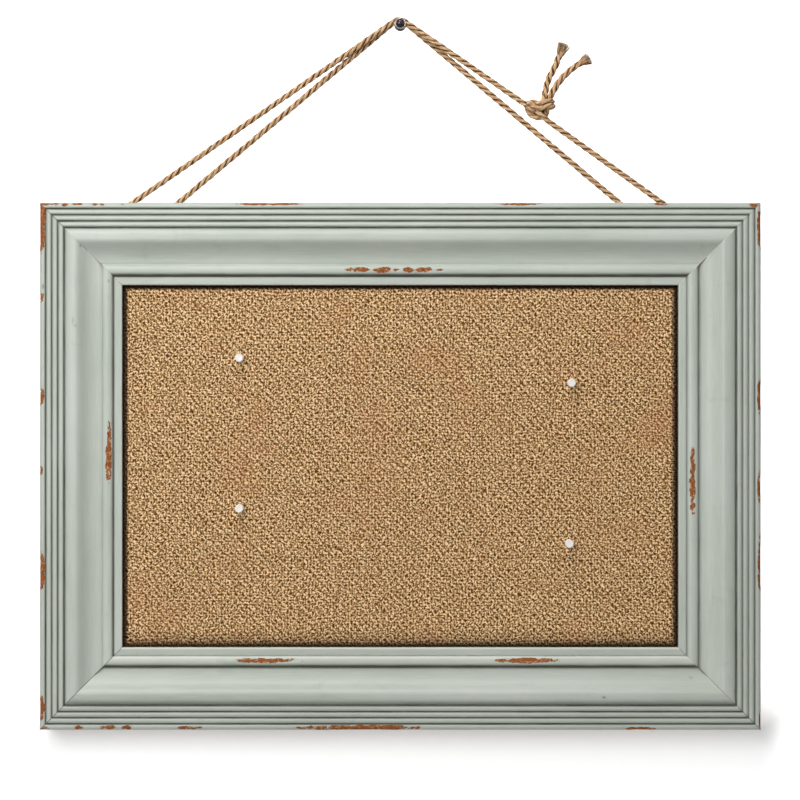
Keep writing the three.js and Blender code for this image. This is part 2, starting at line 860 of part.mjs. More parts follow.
// Twine: one length, tied in a loop that passes twice over the nail, with two free tails at the knot
const loopRings = roundedRoute(loopCorners);
const strands = [
  { name: "twine_loop", curve: new RingCurve(loopRings), steps: loopRings.length - 1 },
  ...[
    { name: "twine_upper_tail", places: upperTailPoints },
    { name: "twine_lower_tail", places: lowerTailPoints },
  ].map(({ name, places }) => ({ name, curve: smoothCurve(vectors(places)), steps: tailSteps })),
];
for (const { name, curve, steps } of strands) {
  addPiece(corkBoard, name, tubeGeometry(curve, steps, twineRadius), twineLook);
}
const loopMeasure = leastGap(loopRings, twineRadius);
console.log(`twine loop ${loopMeasure.length.toFixed(0)} mm, least gap ${loopMeasure.gap.toFixed(2)} mm`);

function vectors(places) {
  return places.map((place) => new THREE.Vector3(...place));
}

function smoothCurve(places) {
  return new THREE.CatmullRomCurve3(places);
}

// One end of the twine through the knot, drawn in from the loop and from its tail by the seat gap
function knotEndGeometry(points) {
  const places = vectors(points).map((place) => place.add(new THREE.Vector3(...knotCentre)));
  const last = places.length - 1;
  const [start, end] = [places[0], places[last]].map((place) => place.clone());
  places[0].addScaledVector(places[1].clone().sub(start).normalize(), seatGap);
  places[last].addScaledVector(places[last - 1].clone().sub(end).normalize(), seatGap);
  return tubeGeometry(smoothCurve(places), knotSteps, twineRadius);
}

const strandClearance = joined(
  strands.map(({ curve, steps }) => tubeGeometry(curve, steps, twineRadius + seatGap)),
);
const knot = joined([firstEndPoints, secondEndPoints].map(knotEndGeometry)).subtract(strandClearance);
addPiece(corkBoard, "twine_knot", geometryOf(knot), twineLook);

export default corkBoard;
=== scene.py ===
"""Looks of a burlap pin board in a reeded, mitred frame that hangs by twine from a nail.

Metres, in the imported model's frame: +X right, +Y into the wall, +Z up; the board faces -Y.
Lengths that come from the construction are written in millimetres and scaled by MM.
"""

import math

import bpy
import numpy as np
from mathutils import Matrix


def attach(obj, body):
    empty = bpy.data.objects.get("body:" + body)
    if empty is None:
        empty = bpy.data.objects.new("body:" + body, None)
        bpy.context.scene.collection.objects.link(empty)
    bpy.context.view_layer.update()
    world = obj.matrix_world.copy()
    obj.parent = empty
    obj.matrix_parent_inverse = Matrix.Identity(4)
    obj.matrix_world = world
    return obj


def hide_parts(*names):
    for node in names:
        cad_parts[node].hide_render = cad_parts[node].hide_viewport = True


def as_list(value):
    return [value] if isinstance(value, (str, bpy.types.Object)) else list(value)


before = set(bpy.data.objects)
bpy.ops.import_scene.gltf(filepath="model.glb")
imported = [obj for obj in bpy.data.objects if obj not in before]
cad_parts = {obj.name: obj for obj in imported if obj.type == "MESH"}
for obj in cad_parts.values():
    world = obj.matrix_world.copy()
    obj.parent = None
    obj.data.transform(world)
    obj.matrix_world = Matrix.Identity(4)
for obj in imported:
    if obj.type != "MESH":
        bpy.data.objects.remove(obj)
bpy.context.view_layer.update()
MM = 0.001
chance = np.random.default_rng(11)

# Construction sizes, in millimetres
SIGHT = (445.6, 290.3)
MOULDING_WIDTH = 66
MITRE_GAP = 0.05
SIDE_HEIGHT = 23.6
WALL_GAP = 10
FRAME_DROP = 358.3
TWINE_RADIUS = 2
TWINE_BEND = 8
TWINE_PITCH = 22
KNOT = (114, -9, -68.5)

# The twine's route, as in the construction
LOOP_CORNERS = [
    (103.5, -8.8, -66.85), (-0.8, -8.5, 5), (-270.4, -5.2, -181.8), (-209.4, -5.2, -169.3),
    (-0.8, -3.9, 5.75), (206.8, -5.2, -169.25), (265.35, -5.2, -182.75), (120, -8.8, -79.05),
]
UPPER_TAIL = [(116.6, -9.2, -60), (119.6, -10, -46.6), (125.8, -10.9, -34), (131.3, -11.6, -19.5)]
LOWER_TAIL = [(121, -9.4, -60), (129.2, -10.4, -46.6), (140, -11.4, -36.2), (152.4, -12.2, -28.6)]
FIRST_END = [
    (-10.5, 0.2, 1.65), (-7.2, -0.4, -0.6), (-4.6, 1, -2.3), (-2, 4.4, -2), (2.4, 6.8, 1.2),
    (6.8, 4.6, 4), (9.2, 0.9, 5.2), (7.4, -2.8, 5.6), (2.6, -4.6, 4.9), (-2.4, -4.2, 3.2),
    (-6, -1, 5), (-8.2, 3, 4.4), (-7.4, 6.4, 0.6), (-6.2, 6, -4.2), (-2, 4.4, -6.4), (1.8, 4.6, -4),
    (2.6, 2.6, -0.2), (2.2, 0.8, 3.8), (2.6, -0.2, 8.5),
]
SECOND_END = [
    (6, 0.2, -10.55), (2.4, -1.6, -7.6), (-0.6, -2.6, -4.9), (-2.5, -1.4, -2.9), (-0.4, 1.2, -1.4),
    (3.4, 3.6, 0.4), (7.4, 3.2, 1.2), (9.8, 0, 1.4), (7.8, -3.2, 1.9), (3, -4.2, 0.9),
    (-1.4, -4.5, -0.4), (-5.4, -4, 1.4), (-9.3, -2, 4), (-11, 2.6, 2.6), (-9.8, 4, -2.8),
    (-5.8, 1.8, -6.4), (-0.8, 1.4, -7.4), (3.6, 1.8, -5.2), (5.2, 0.4, -1), (6.6, 0.1, 3.8),
    (7, -0.4, 8.5),
]


# Meshes


def stack(*parts):
    """Arrays side by side along a new last axis."""
    return np.stack(np.broadcast_arrays(*parts), axis=-1)


def new_mesh(name, points, faces):
    """A smooth mesh from an array of points and a list of integer arrays, each one row a face."""
    mesh = bpy.data.meshes.new(name)
    loops = np.concatenate([part.ravel() for part in faces]).astype(np.int32)
    sizes = np.concatenate([np.full(len(part), part.shape[1]) for part in faces])
    starts = np.concatenate([[0], np.cumsum(sizes)[:-1]]).astype(np.int32)
    mesh.vertices.add(len(points))
    mesh.vertices.foreach_set("co", np.asarray(points, dtype=np.float32).ravel())
    mesh.loops.add(len(loops))
    mesh.loops.foreach_set("vertex_index", loops)
    mesh.polygons.add(len(sizes))
    mesh.polygons.foreach_set("loop_start", starts)
    mesh.polygons.foreach_set("use_smooth", np.full(len(sizes), True))
    mesh.update(calc_edges=True)
    mesh.validate()
    return mesh


def paint_values(mesh, **values):
    for name, numbers in values.items():
        attribute = mesh.attributes.new(name, "FLOAT", "POINT")
        attribute.data.foreach_set("value", np.asarray(numbers, dtype=np.float32).ravel())


def add_object(name, data, material=None):
    piece = bpy.data.objects.new(name, data)
    bpy.context.scene.collection.objects.link(piece)
    if material:
        data.materials.append(material)
    return piece


def add_piece(name, mesh, material, body, slot, *nodes):
    piece = add_object(name, mesh, material)
    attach(piece, body)
    if nodes:
        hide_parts(*nodes)
    return piece


def grid_faces(rows, columns, wrap_rows=False, wrap_columns=False):
    """Faces of a grid of points laid out row by row."""
    row = np.arange(rows if wrap_rows else rows - 1)[:, None]
    column = np.arange(columns if wrap_columns else columns - 1)[None, :]
    next_row = (row + 1) % rows
    next_column = (column + 1) % columns
    first, second = row * columns, next_row * columns
    corners = stack(first + column, first + next_column, second + next_column, second + column)
    return corners.reshape(-1, 4)


def tube_faces(count, sides):
    """Faces of a closed tube of rings, with a fan round one more point for each end."""
    around = np.arange(sides)
    ahead = (around + 1) % sides
    last, centre = (count - 1) * sides, count * sides
    fans = [stack(ahead, around, centre), stack(last + around, last + ahead, centre + 1)]
    return [grid_faces(count, sides, wrap_columns=True)] + fans


def tube_mesh(name, rings):
    points = np.vstack([rings.reshape(-1, 3), rings[0].mean(axis=0), rings[-1].mean(axis=0)])
    return new_mesh(name, points, tube_faces(*rings.shape[:2]))


def numbers_of(collection, key, count, kind=np.float32):
    numbers = np.empty(count, dtype=kind)
    collection.foreach_get(key, numbers)
    return numbers


def joined_mesh(name, meshes):
    """One mesh from several, which are then removed. Point values with the same names are kept."""
    points, quads, triangles, values = [], [], [], {}
    start = 0
    for mesh in meshes:
        count = len(mesh.vertices)
        points.append(numbers_of(mesh.vertices, "co", 3 * count).reshape(-1, 3))
        loops = numbers_of(mesh.loops, "vertex_index", len(mesh.loops), np.int32)
        starts = numbers_of(mesh.polygons, "loop_start", len(mesh.polygons), np.int32)
        sizes = np.diff(np.append(starts, len(loops)))
        for size, kept in ((4, quads), (3, triangles)):
            rows = starts[sizes == size][:, None] + np.arange(size)
            kept.append(loops[rows] + start)
        for attribute in mesh.attributes:
            if attribute.data_type == "FLOAT" and attribute.domain == "POINT":
                numbers = numbers_of(attribute.data, "value", count)
                values.setdefault(attribute.name, []).append(numbers)
        start += count
        bpy.data.meshes.remove(mesh)
    faces = [np.vstack(part) for part in (quads, triangles) if sum(map(len, part))]
    whole = new_mesh(name, np.vstack(points), faces)
    paint_values(whole, **{key: np.concatenate(parts) for key, parts in values.items()})
    return whole


def turned_mesh(name, parts, place, sides=48):
    """A piece turned about the Y axis, from runs of (radius, y) in millimetres that start and end
    on the axis."""
    angles = np.linspace(0, math.tau, sides, endpoint=False)
    profile = np.vstack(parts)
    radius, depth = profile[1:-1].T
    radius, depth = radius[:, None], depth[:, None]
    rings = stack(radius * np.cos(angles), depth, radius * np.sin(angles))
    points = np.vstack([rings.reshape(-1, 3), [[0, profile[0, 1], 0], [0, profile[-1, 1], 0]]])
    faces = tube_faces(len(radius), sides)
    if profile[0, 1] > profile[-1, 1]:
        faces = [part[:, ::-1] for part in faces]
    return new_mesh(name, (points + np.asarray(place)) * MM, faces)


def arc(centre, radii, start, end, steps):
    angles = np.linspace(start, end, steps + 1)
    return stack(centre[0] + radii[0] * np.cos(angles), centre[1] + radii[1] * np.sin(angles))


def bezier(points, steps):
    share = np.linspace(0, 1, steps + 1)[1:, None]
    first, second, third, fourth = np.asarray(points, dtype=float)
    back = 1 - share
    middle = 3 * back**2 * share * second + 3 * back * share**2 * third
    return back**3 * first + middle + share**3 * fourth


def distances(points):
    """How far along a line each of its points is."""
    steps = np.linalg.norm(np.diff(points, axis=0), axis=1)
    return np.concatenate([[0], np.cumsum(steps)])


def waves(places, lengths, seed):
    """Smooth unevenness of about -1 to 1, from a few sine waves across an array of (x, y) places."""
    draw = np.random.default_rng(seed)
    total = np.zeros(places.shape[:-1])
    for _ in range(6):
        turns = draw.normal(size=2) / np.asarray(lengths)
        total += np.sin(math.tau * (places @ turns) + draw.uniform(0, math.tau))
    return total / 3


# Materials


def feed(tree, socket, value):
    """Link the socket to another one, or set its value."""
    if isinstance(value, bpy.types.NodeSocket):
        tree.links.new(value, socket)
    else:
        socket.default_value = value


def add_node(tree, kind, inputs=None, **settings):
    node = tree.nodes.new(kind)
    for key, value in settings.items():
        setattr(node, key, value)
    for key, value in (inputs or {}).items():
        feed(tree, node.inputs[key], value)
    return node


class Look:
    """A node material under construction."""

    def __init__(self, name, **sockets):
        self.material = bpy.data.materials.new(name)
        self.material.use_nodes = True
        self.tree = self.material.node_tree
        self.tree.nodes.clear()
        self.shader = self.node("ShaderNodeBsdfPrincipled")
        self.output = self.node("ShaderNodeOutputMaterial", {"Surface": self.shader.outputs[0]})
        self.set(**sockets)

    def node(self, kind, inputs=None, **settings):
        return add_node(self.tree, kind, inputs, **settings)

    def set(self, **sockets):
        for key, value in sockets.items():
            feed(self.tree, self.shader.inputs[key.replace("_", " ")], value)

    def calc(self, kind, *values):
        return self.node("ShaderNodeMath", dict(enumerate(values)), operation=kind).outputs[0]

    def times(self, first, second):
        return self.calc("MULTIPLY", first, second)

    def value(self, name):
        return self.node("ShaderNodeAttribute", attribute_name=name).outputs["Fac"]

    def vector(self, x=0.0, y=0.0, z=0.0):
        return self.node("ShaderNodeCombineXYZ", {0: x, 1: y, 2: z}).outputs[0]

    def place(self, scale=(1, 1, 1)):
        here = self.node("ShaderNodeTexCoord").outputs["Object"]
        return self.node("ShaderNodeMapping", {"Vector": here, "Scale": scale}).outputs[0]

    def axes(self):
        """The place along X, Y and Z."""
        return self.node("ShaderNodeSeparateXYZ", {0: self.place()}).outputs

    def noise(self, vector, scale, detail=3.0, roughness=0.55, distortion=0.0, kind="3D"):
        inputs = {"Vector": vector, "Scale": scale, "Detail": detail}
        inputs |= {"Roughness": roughness, "Distortion": distortion}
        return self.node("ShaderNodeTexNoise", inputs, noise_dimensions=kind).outputs["Fac"]

    def spread(self, value, low, high, start=0.0, end=1.0):
        """The value's span from low to high, spread over start to end and held there."""
        inputs = {0: value, 1: low, 2: high, 3: start, 4: end}
        return self.node("ShaderNodeMapRange", inputs).outputs[0]

    def mix(self, share, *colours, blend="MIX"):
        """A mix of two colours. A colour is a socket or three numbers, 0 to 255 as on screen."""
        inputs = {0: share}
        for key, colour in zip((6, 7), colours):
            inputs[key] = shade(*colour) if isinstance(colour, tuple) else colour
        return self.node("ShaderNodeMix", inputs, data_type="RGBA", blend_type=blend).outputs[2]

    def bump(self, height, strength, distance, normal=None):
        inputs = {"Height": height, "Strength": strength, "Distance": distance}
        if normal:
            inputs["Normal"] = normal
        return self.node("ShaderNodeBump", inputs).outputs[0]


def shade(red, green, blue):
    """A colour written as 0 to 255 on screen, for a shader socket."""
    screen = np.array([red, green, blue]) / 255
    linear = np.where(screen <= 0.04045, screen / 12.92, ((screen + 0.055) / 1.055) ** 2.4)
    return (*linear, 1)


def paint_look():
    """Worn satin paint over brown wood. The meshes give where paint is lost, where grime and painted
    shade darken it, and where wear and painted highlights make it pale.
    """
    look = Look("painted_wood")
    along, across, side = (look.value(name) for name in ("along", "across", "side"))

    def marks(lengthways, scale, detail, roughness=0.55, crossways=1.0, distortion=0.0):
        """Noise on the rail, drawn out along it where lengthways is small."""
        spot = look.vector(look.times(along, lengthways), look.times(across, crossways), side)
        return look.noise(spot, scale, detail, roughness, distortion)

    ragged = look.calc("SUBTRACT", marks(0.5, 560, 6, 0.75), 0.5)
    patches = look.calc("SUBTRACT", marks(1, 150, 2, crossways=0.6), 0.5)
    worn = look.calc("MULTIPLY_ADD", patches, 2.2, look.times(ragged, 3.4))
    wear = look.value("wear")
    field = look.calc("MULTIPLY_ADD", worn, look.spread(wear, 0.05, 0.3), wear)
    bare = look.spread(field, 0.52, 0.56)
    rim = look.spread(field, 0.4, 0.47)

    drift = marks(0.35, 26, 3)
    strokes = marks(0.05, 900, 2)
    smudge = marks(1, 60, 4, 0.6, distortion=0.6)
    speck = marks(1, 700, 3, 0.7)
    paint = look.mix(look.spread(drift, 0.3, 0.72), (168, 175, 164), (184, 190, 181))
    paint = look.mix(look.spread(strokes, 0.35, 0.7, 0, 0.22), paint, (203, 209, 200))
    paint = look.mix(look.spread(smudge, 0.6, 0.75, 0, 0.22), paint, (146, 148, 136))
    paint = look.mix(look.spread(speck, 0.7, 0.76, 0, 0.5), paint, (120, 116, 98))
    # Painted shade with some grime: darker in the grooves and on the sides that face away from the
    # light.
    paint = look.mix(look.value("dirt_and_shade"), paint, (64, 67, 54))
    # Painted highlight with some wear: paler on edges that face the light.
    paint = look.mix(look.value("wear_and_highlight"), paint, (222, 224, 212))
    paint = look.mix(look.times(rim, 0.75), paint, (222, 206, 180))

    grain = marks(0.16, 1500, 4)
    blotch = marks(1, 420, 4, 0.6)
    wood = look.mix(look.spread(grain, 0.35, 0.66), (102, 48, 8), (160, 90, 32))
    wood = look.mix(look.spread(blotch, 0.53, 0.68, 0, 0.75), wood, (206, 158, 112))
    look.set(Base_Color=look.mix(bare, paint, wood), Roughness=look.spread(bare, 0, 1, 0.42, 0.8))

    relief = look.calc("MULTIPLY_ADD", strokes, 0.25, look.times(drift, 0.5))
    edge = look.calc("SUBTRACT", look.times(grain, look.times(bare, 0.4)), bare)
    look.set(Normal=look.bump(edge, 0.8, 0.0005, look.bump(relief, 0.35, 0.00025)))
    return look.material


def grained_look(name, colours, span, noise, relief, gloss=None, stretch=(1, 1, 1), **sockets):
    """One noise that gives the colour and the relief, and the roughness unless that is even."""
    look = Look(name, **sockets)
    marks = look.noise(look.place(stretch), *noise)
    look.set(Base_Color=look.mix(look.spread(marks, *span), *colours))
    look.set(Normal=look.bump(marks, *relief))
    if gloss:
        look.set(Roughness=look.spread(marks, 0.3, 0.7, *gloss))
    return look.material


def metal_look(name, colours, roughness, scale=900, stretch=(1, 1, 1)):
    gloss = (roughness * 0.8, roughness * 1.3)
    relief = (0.08, 0.0001)
    return grained_look(name, colours, (0.35, 0.7), (scale, 4), relief, gloss, stretch, Metallic=1.0)


def twine_look():
    """Three-ply jute: fibres run along each ply, and the grooves between plies and the knot's creases
    carry painted shade.
    """
    look = Look("jute_twine", Roughness=0.85, Specular_IOR_Level=0.1)
    across, along = look.value("ply_across"), look.value("ply_along")

    def strands(lengthways, crossways, detail, roughness=0.55):
        spot = look.vector(look.times(along, lengthways), look.times(across, crossways))
        return look.noise(spot, 1, detail, roughness)

    fibre = strands(260, 5.5, 4, 0.6)
    patch = strands(60, 0.6, 3)
    gap = strands(170, 0.3, 1)
    tone = look.mix(look.spread(fibre, 0.4, 0.6), (150, 92, 46), (255, 226, 180))
    tone = look.mix(look.spread(patch, 0.45, 0.65, 0, 0.55), tone, (214, 158, 118))
    # Painted shade in the grooves between plies and in the knot's creases.
    groove = look.spread(look.value("ply_depth"), 0.2, 0.8)
    groove = look.times(groove, look.spread(gap, 0.38, 0.52, 0.3, 1.0))
    groove = look.calc("MAXIMUM", groove, look.spread(look.value("crease"), 0.25, 0.95, 0, 0.95))
    tone = look.mix(groove, tone, (44, 14, 2))
    look.set(Base_Color=tone, Normal=look.bump(fibre, 0.7, 0.0004))
    return look.material


def burlap_look():
    """Uneven jute weave. The mesh gives the yarn counts, and the relief follows the same weave."""
    look = Look("burlap_weave", Roughness=0.95, Specular_IOR_Level=0.15)
    warp, weft = look.value("warp"), look.value("weft")

    def stray(offset, scale, detail, reach):
        spot = look.vector(look.calc("ADD", warp, offset), weft)
        noise = look.noise(spot, scale, detail, 0.5, kind="2D")
        return look.times(look.calc("SUBTRACT", noise, 0.5), reach)

    def wave(value, turns=0.5):
        return look.calc("COSINE", look.times(value, math.tau * turns))

    across = look.calc("ADD", warp, stray(17, 0.6, 2, 1.15))
    along = look.calc("ADD", weft, stray(91, 0.6, 2, 1.15))
    rise = look.spread(wave(look.calc("ADD", across, along)), -1.0, 1.0)
    cross = look.spread(wave(look.calc("SUBTRACT", across, along)), -1.0, 1.0, 0.2, 1.0)
    hole = look.times(look.calc("POWER", rise, 1.2), cross)
    upright = wave(look.calc("ADD", warp, stray(0, 0.8, 1, 1.3)), 1.18)
    level = wave(look.calc("ADD", weft, stray(43, 0.8, 1, 1.3)), 1.18)
    fibre = 0.0
    for side, lift, share in ((3, 6, 1.0), (4, 6, -0.5), (3, 7, -0.5)):
        places = ((across, side), (along, lift))
        spot = look.vector(*(look.calc("MULTIPLY_ADD", at, 2.4, shift) for at, shift in places))
        fibre = look.calc("MULTIPLY_ADD", look.noise(spot, 1, 0, 0.5, kind="2D"), share, fibre)

    height = look.calc("MULTIPLY_ADD", hole, -0.7, 0.65)
    height = look.calc("MULTIPLY_ADD", look.calc("ADD", upright, level), 0.27, height)
    height = look.calc("MULTIPLY_ADD", fibre, 1.3, height)
    # The colour follows the weave's height: painted shade in the gaps between yarns and painted
    # highlight on their crowns, over the yarn's own colour.
    low, middle, high = (84, 48, 6), (175, 138, 91), (255, 220, 174)
    tone = look.mix(look.spread(height, -0.1, 0.5), low, middle)
    tone = look.mix(look.spread(height, 0.5, 1.1), tone, high)
    patch = look.noise(look.place(), 22, 3)
    tone = look.mix(look.spread(patch, 0.5, 0.75, 0, 0.25), tone, (180, 112, 74))
    # Painted shade darkens the cloth in the recess round its edges.
    tone = look.mix(look.value("sunk"), tone, (66, 50, 40), blend="MULTIPLY")
    look.set(Base_Color=tone, Normal=look.bump(height, 0.5, 0.0006))
    return look.material


def nail_look():
    """Polished steel: the dome's middle is painted near black as a painted reflection, everything
    behind the rim's face, with the collar, is painted dark as painted shade, and the rim's face is
    bare.
    """
    look = Look("nail_steel", Metallic=1.0)
    marks = look.noise(look.place(), 1500, 4)
    x, y, z = look.axes()
    out = look.calc("SQRT", look.calc("ADD", look.calc("POWER", x, 2.0), look.calc("POWER", z, 2.0)))
    front = look.calc("LESS_THAN", y, -0.0118)
    # Painted reflection: the middle of the dome's front is dark.
    dome = look.times(look.spread(out, 0.0035, 0.0038, 1, 0), front)
    # Painted shade: the rim's underside, the waist and the collar are dark.
    dome = look.calc("MAXIMUM", dome, look.spread(y, -0.0116, -0.0112))
    shine = look.spread(marks, 0.35, 0.7)
    bare = look.mix(shine, (122, 112, 106), (190, 178, 168))
    black = look.mix(shine, (40, 38, 42), (74, 72, 78))
    look.set(Base_Color=look.mix(dome, bare, black))
    look.set(Roughness=look.spread(marks, 0.3, 0.7, 0.12, 0.24))
    look.set(Normal=look.bump(marks, 0.06, 0.0001))
    return look.material


def hardboard_look():
    """Hardboard with its screen-pressed side out."""
    look = Look("hardboard_screen", Roughness=0.78)
    x, _, z = look.axes()
    rows = [look.calc("SINE", look.times(axis, math.tau / 0.0016)) for axis in (x, z)]
    screen = look.times(*rows)
    fibre = look.noise(look.place(), 260, 5, 0.65)
    tone = look.mix(look.spread(fibre, 0.3, 0.7), (98, 66, 40), (140, 100, 66))
    tone = look.mix(look.spread(screen, 0.1, 0.9, 0, 0.35), tone, (70, 46, 28))
    relief = look.calc("MULTIPLY_ADD", fibre, 0.8, screen)
    look.set(Base_Color=tone, Normal=look.bump(relief, 0.5, 0.0002))
    return look.material


def cork_look():
    look = Look("cork_grain", Roughness=0.9)
    cell = look.node("ShaderNodeTexVoronoi", {"Vector": look.place(), "Scale": 420}).outputs
    tone = look.mix(look.spread(cell["Color"], 0.1, 0.9), (150, 104, 62), (206, 160, 108))
    tone = look.mix(look.spread(cell["Distance"], 0.3, 0.6, 0, 0.5), tone, (96, 62, 34))
    look.set(Base_Color=tone, Normal=look.bump(cell["Distance"], 0.4, 0.0004))
    return look.material


# Camera and light


def make_camera():
    data = bpy.data.cameras.new("camera")
    data.sensor_width = 36
    data.lens = 112.4
    camera = add_object("camera", data)
    camera.location = (-0.00024, -2.035, -0.3052)
    camera.rotation_euler = (math.pi / 2, 0, 0)
    bpy.context.scene.camera = camera


def add_lamp(name, place, size, energy):
    data = bpy.data.lights.new(name, "AREA")
    data.shape = "SQUARE"
    data.size = size
    data.energy = energy
    lamp = add_object(name, data)
    lamp.location = place
    aim = np.array([0, -0.03, -0.35]) - np.array(place)
    lamp.rotation_euler = (
        math.atan2(math.hypot(aim[0], aim[1]), -aim[2]),
        0,
        math.atan2(aim[1], aim[0]) - math.pi / 2,
    )


def make_light():
    scene = bpy.context.scene
    scene.view_settings.view_transform = "Standard"
    add_lamp("window", (-0.95, -1.85, 0.2), 0.9, 20.5)
    add_lamp("skylight", (-0.3, -1.2, 1.3), 0.8, 22.5)
    add_lamp("rear", (0.5, 1.8, 0.5), 1.2, 20)
    world = bpy.data.worlds.new("studio")
    scene.world = world
    world.use_nodes = True
    tree = world.node_tree
    paths = add_node(tree, "ShaderNodeLightPath").outputs
    seen = paths["Is Camera Ray"]
    for name in ("Is Glossy Ray", "Is Transmission Ray"):
        both = add_node(tree, "ShaderNodeMath", {0: seen, 1: paths[name]}, operation="MAXIMUM")
        seen = both.outputs[0]
    level = add_node(tree, "ShaderNodeMapRange", {0: seen, 3: 0.23, 4: 1}).outputs[0]
    back = tree.nodes["Background"].inputs
    feed(tree, back["Strength"], level)
    feed(tree, back["Color"], (1, 1, 1, 1))


def stage_look(name, is_wall):
    """A pale matt surface that the camera sees a little brighter, so that it shows white but keeps
    the shadow, most of all below the frame. The wall can be seen through from behind."""
    look = Look(name, Base_Color=shade(236, 236, 236), Roughness=1.0)
    seen = look.node("ShaderNodeLightPath").outputs["Is Camera Ray"]
    glow = 0.5
    if is_wall:
        here = look.axes()
        # The glow is least in a band just below the frame, where the frame's shadow shows, and greater
        # lower down, higher up and out past both sides: painted light that washes out other shadows on
        # the wall, such as the twine's.
        below = look.spread(here[2], -0.605, -0.576, 0.48, 0.295)
        left = look.spread(here[0], -0.36, -0.31, 0.75, 0)
        beside = look.calc("MAXIMUM", left, look.spread(here[0], 0.274, 0.33, 0, 0.75))
        glow = look.calc("ADD", below, look.spread(here[2], -0.572, -0.54, 0, 0.75))
        glow = look.calc("MAXIMUM", glow, beside)
    shine = look.node("ShaderNodeEmission", {"Strength": look.times(seen, glow)}).outputs[0]
    surface = look.node("ShaderNodeAddShader", {0: look.shader.outputs[0], 1: shine}).outputs[0]
    if is_wall:
        clear = look.node("ShaderNodeBsdfTransparent").outputs[0]
        behind = look.node("ShaderNodeNewGeometry").outputs["Backfacing"]
        surface = look.node("ShaderNodeMixShader", {0: behind, 1: surface, 2: clear}).outputs[0]
    feed(look.tree, look.output.inputs["Surface"], surface)
    return look.material


def make_stage():
    low = -1.6
    outlines = {
        "wall": [(-3, 0, low), (3, 0, low), (3, 0, 2), (-3, 0, 2)],
        "floor": [(-4, -4, low), (4, -4, low), (4, 4, low), (-4, 4, low)],
    }
    sides = []
    for name, corners in outlines.items():
        mesh = new_mesh(name, np.array(corners), [np.array([[0, 1, 2, 3]])])
        sides.append(add_object(name, mesh, stage_look(name, name == "wall")))
    wall, floor = sides
    wall.visible_diffuse = wall.visible_glossy = wall.visible_shadow = False


# Twine


def even_path(points, step):
    """The same line with even steps of about the given length."""
    travelled = distances(points)
    count = max(2, round(travelled[-1] / step))
    places = np.linspace(0, travelled[-1], count + 1)
    return stack(*(np.interp(places, travelled, column) for column in points.T))


def smooth_path(points, samples=24):
    """A centripetal Catmull-Rom curve through the points."""
    points = np.asarray(points, dtype=float)
    ends = np.vstack([2 * points[0] - points[1], points, 2 * points[-1] - points[-2]])
    gaps = np.sqrt(np.linalg.norm(np.diff(ends, axis=0), axis=1))
    marks = np.concatenate([[0], np.cumsum(gaps)])

    def between(first, second, start, end, at):
        return ((marks[end] - at) * first + (at - marks[start]) * second) / (marks[end] - marks[start])

    runs = []
    for i in range(len(points) - 1):
        at = np.linspace(marks[i + 1], marks[i + 2], samples, endpoint=False)[:, None]
        lines = [between(ends[j], ends[j + 1], j, j + 1, at) for j in (i, i + 1, i + 2)]
        bends = [between(lines[j], lines[j + 1], i + j, i + j + 2, at) for j in (0, 1)]
        runs.append(between(*bends, i + 1, i + 2, at))
    return np.vstack(runs + [points[-1:]])


def rounded_route(corners, radius):
    """Straight runs between the corners, with a round bend at each."""
    corners = np.asarray(corners, dtype=float)
    route = [corners[0]]
    for before, corner, after in zip(corners, corners[1:], corners[2:]):
        into = (corner - before) / np.linalg.norm(corner - before)
        out = (after - corner) / np.linalg.norm(after - corner)
        bend = math.acos(np.clip(into @ out, -1, 1))
        tangent = radius * math.tan(bend / 2)
        inward = (out - into) / np.linalg.norm(out - into)
        centre = corner + inward * radius / math.cos(bend / 2)
        spoke = corner - into * tangent - centre
        for angle in np.linspace(0, bend, 40):
            route.append(centre + spoke * math.cos(angle) + into * radius * math.sin(angle))
    return np.array(route + [corners[-1]])


def path_frames(path):
    """Two directions square to the path at each point, carried along without twist."""
    ahead = np.gradient(path, axis=0)
    ahead /= np.linalg.norm(ahead, axis=1)[:, None]
    side = np.cross(ahead[0], (0, 1, 0))
    sides = []
    for direction in ahead:
        side = side - direction * (side @ direction)
        side = side / np.linalg.norm(side)
        sides.append(side)
    sides = np.array(sides)
    return ahead, sides, np.cross(ahead, sides)


def twine_rings(path, tightness, girth):
    """Rings of a three-ply twine. Each point keeps its place on its ply, so the grooves stay sharp.
    Where the twine is pulled tight its plies flatten together, and where it's loose it swells."""
    ply_radius, ply_offset, per_ply = 1.4, 1.08, 9
    _, sides, ups = path_frames(path)
    travelled = distances(path)
    away = np.sin(np.linspace(-math.pi / 2, math.pi / 2, per_ply, endpoint=False)) * math.pi / 3
    away = np.tile(away, 3)
    ply = np.repeat(np.arange(3), per_ply)
    inner = np.maximum(ply_radius**2 - (ply_offset * np.sin(away)) ** 2, 0)
    reach = ply_offset * np.cos(away) + np.sqrt(inner)
    turn = -math.tau * travelled[:, None] / TWINE_PITCH + ply * math.tau / 3 + away
    swell = stack(*(waves(stack(travelled, 0), (26, 26), 40 + i) for i in range(3)))
    uneven = 1 + 0.035 * swell[:, ply] + 0.03 * chance.normal(size=turn.shape)
    tight = tightness[:, None]
    radius = (reach * (1 - 0.5 * tight) + 2.2 * 0.5 * tight) * uneven * girth[:, None]
    rings = (
        path[:, None]
        + radius[..., None] * np.cos(turn)[..., None] * sides[:, None]
        + radius[..., None] * np.sin(turn)[..., None] * ups[:, None]
    )
    # How deep each point lies in the groove between plies, which the look turns into painted shade.
    depth = np.clip((2.48 - reach) / 0.8, 0, 1)
    values = {
        "ply_across": np.broadcast_to(away + 7.3 * ply, turn.shape),
        "ply_along": np.broadcast_to(travelled[:, None] * MM, turn.shape),
        "ply_depth": depth * (1 - 0.35 * tight),
    }
    return rings, values


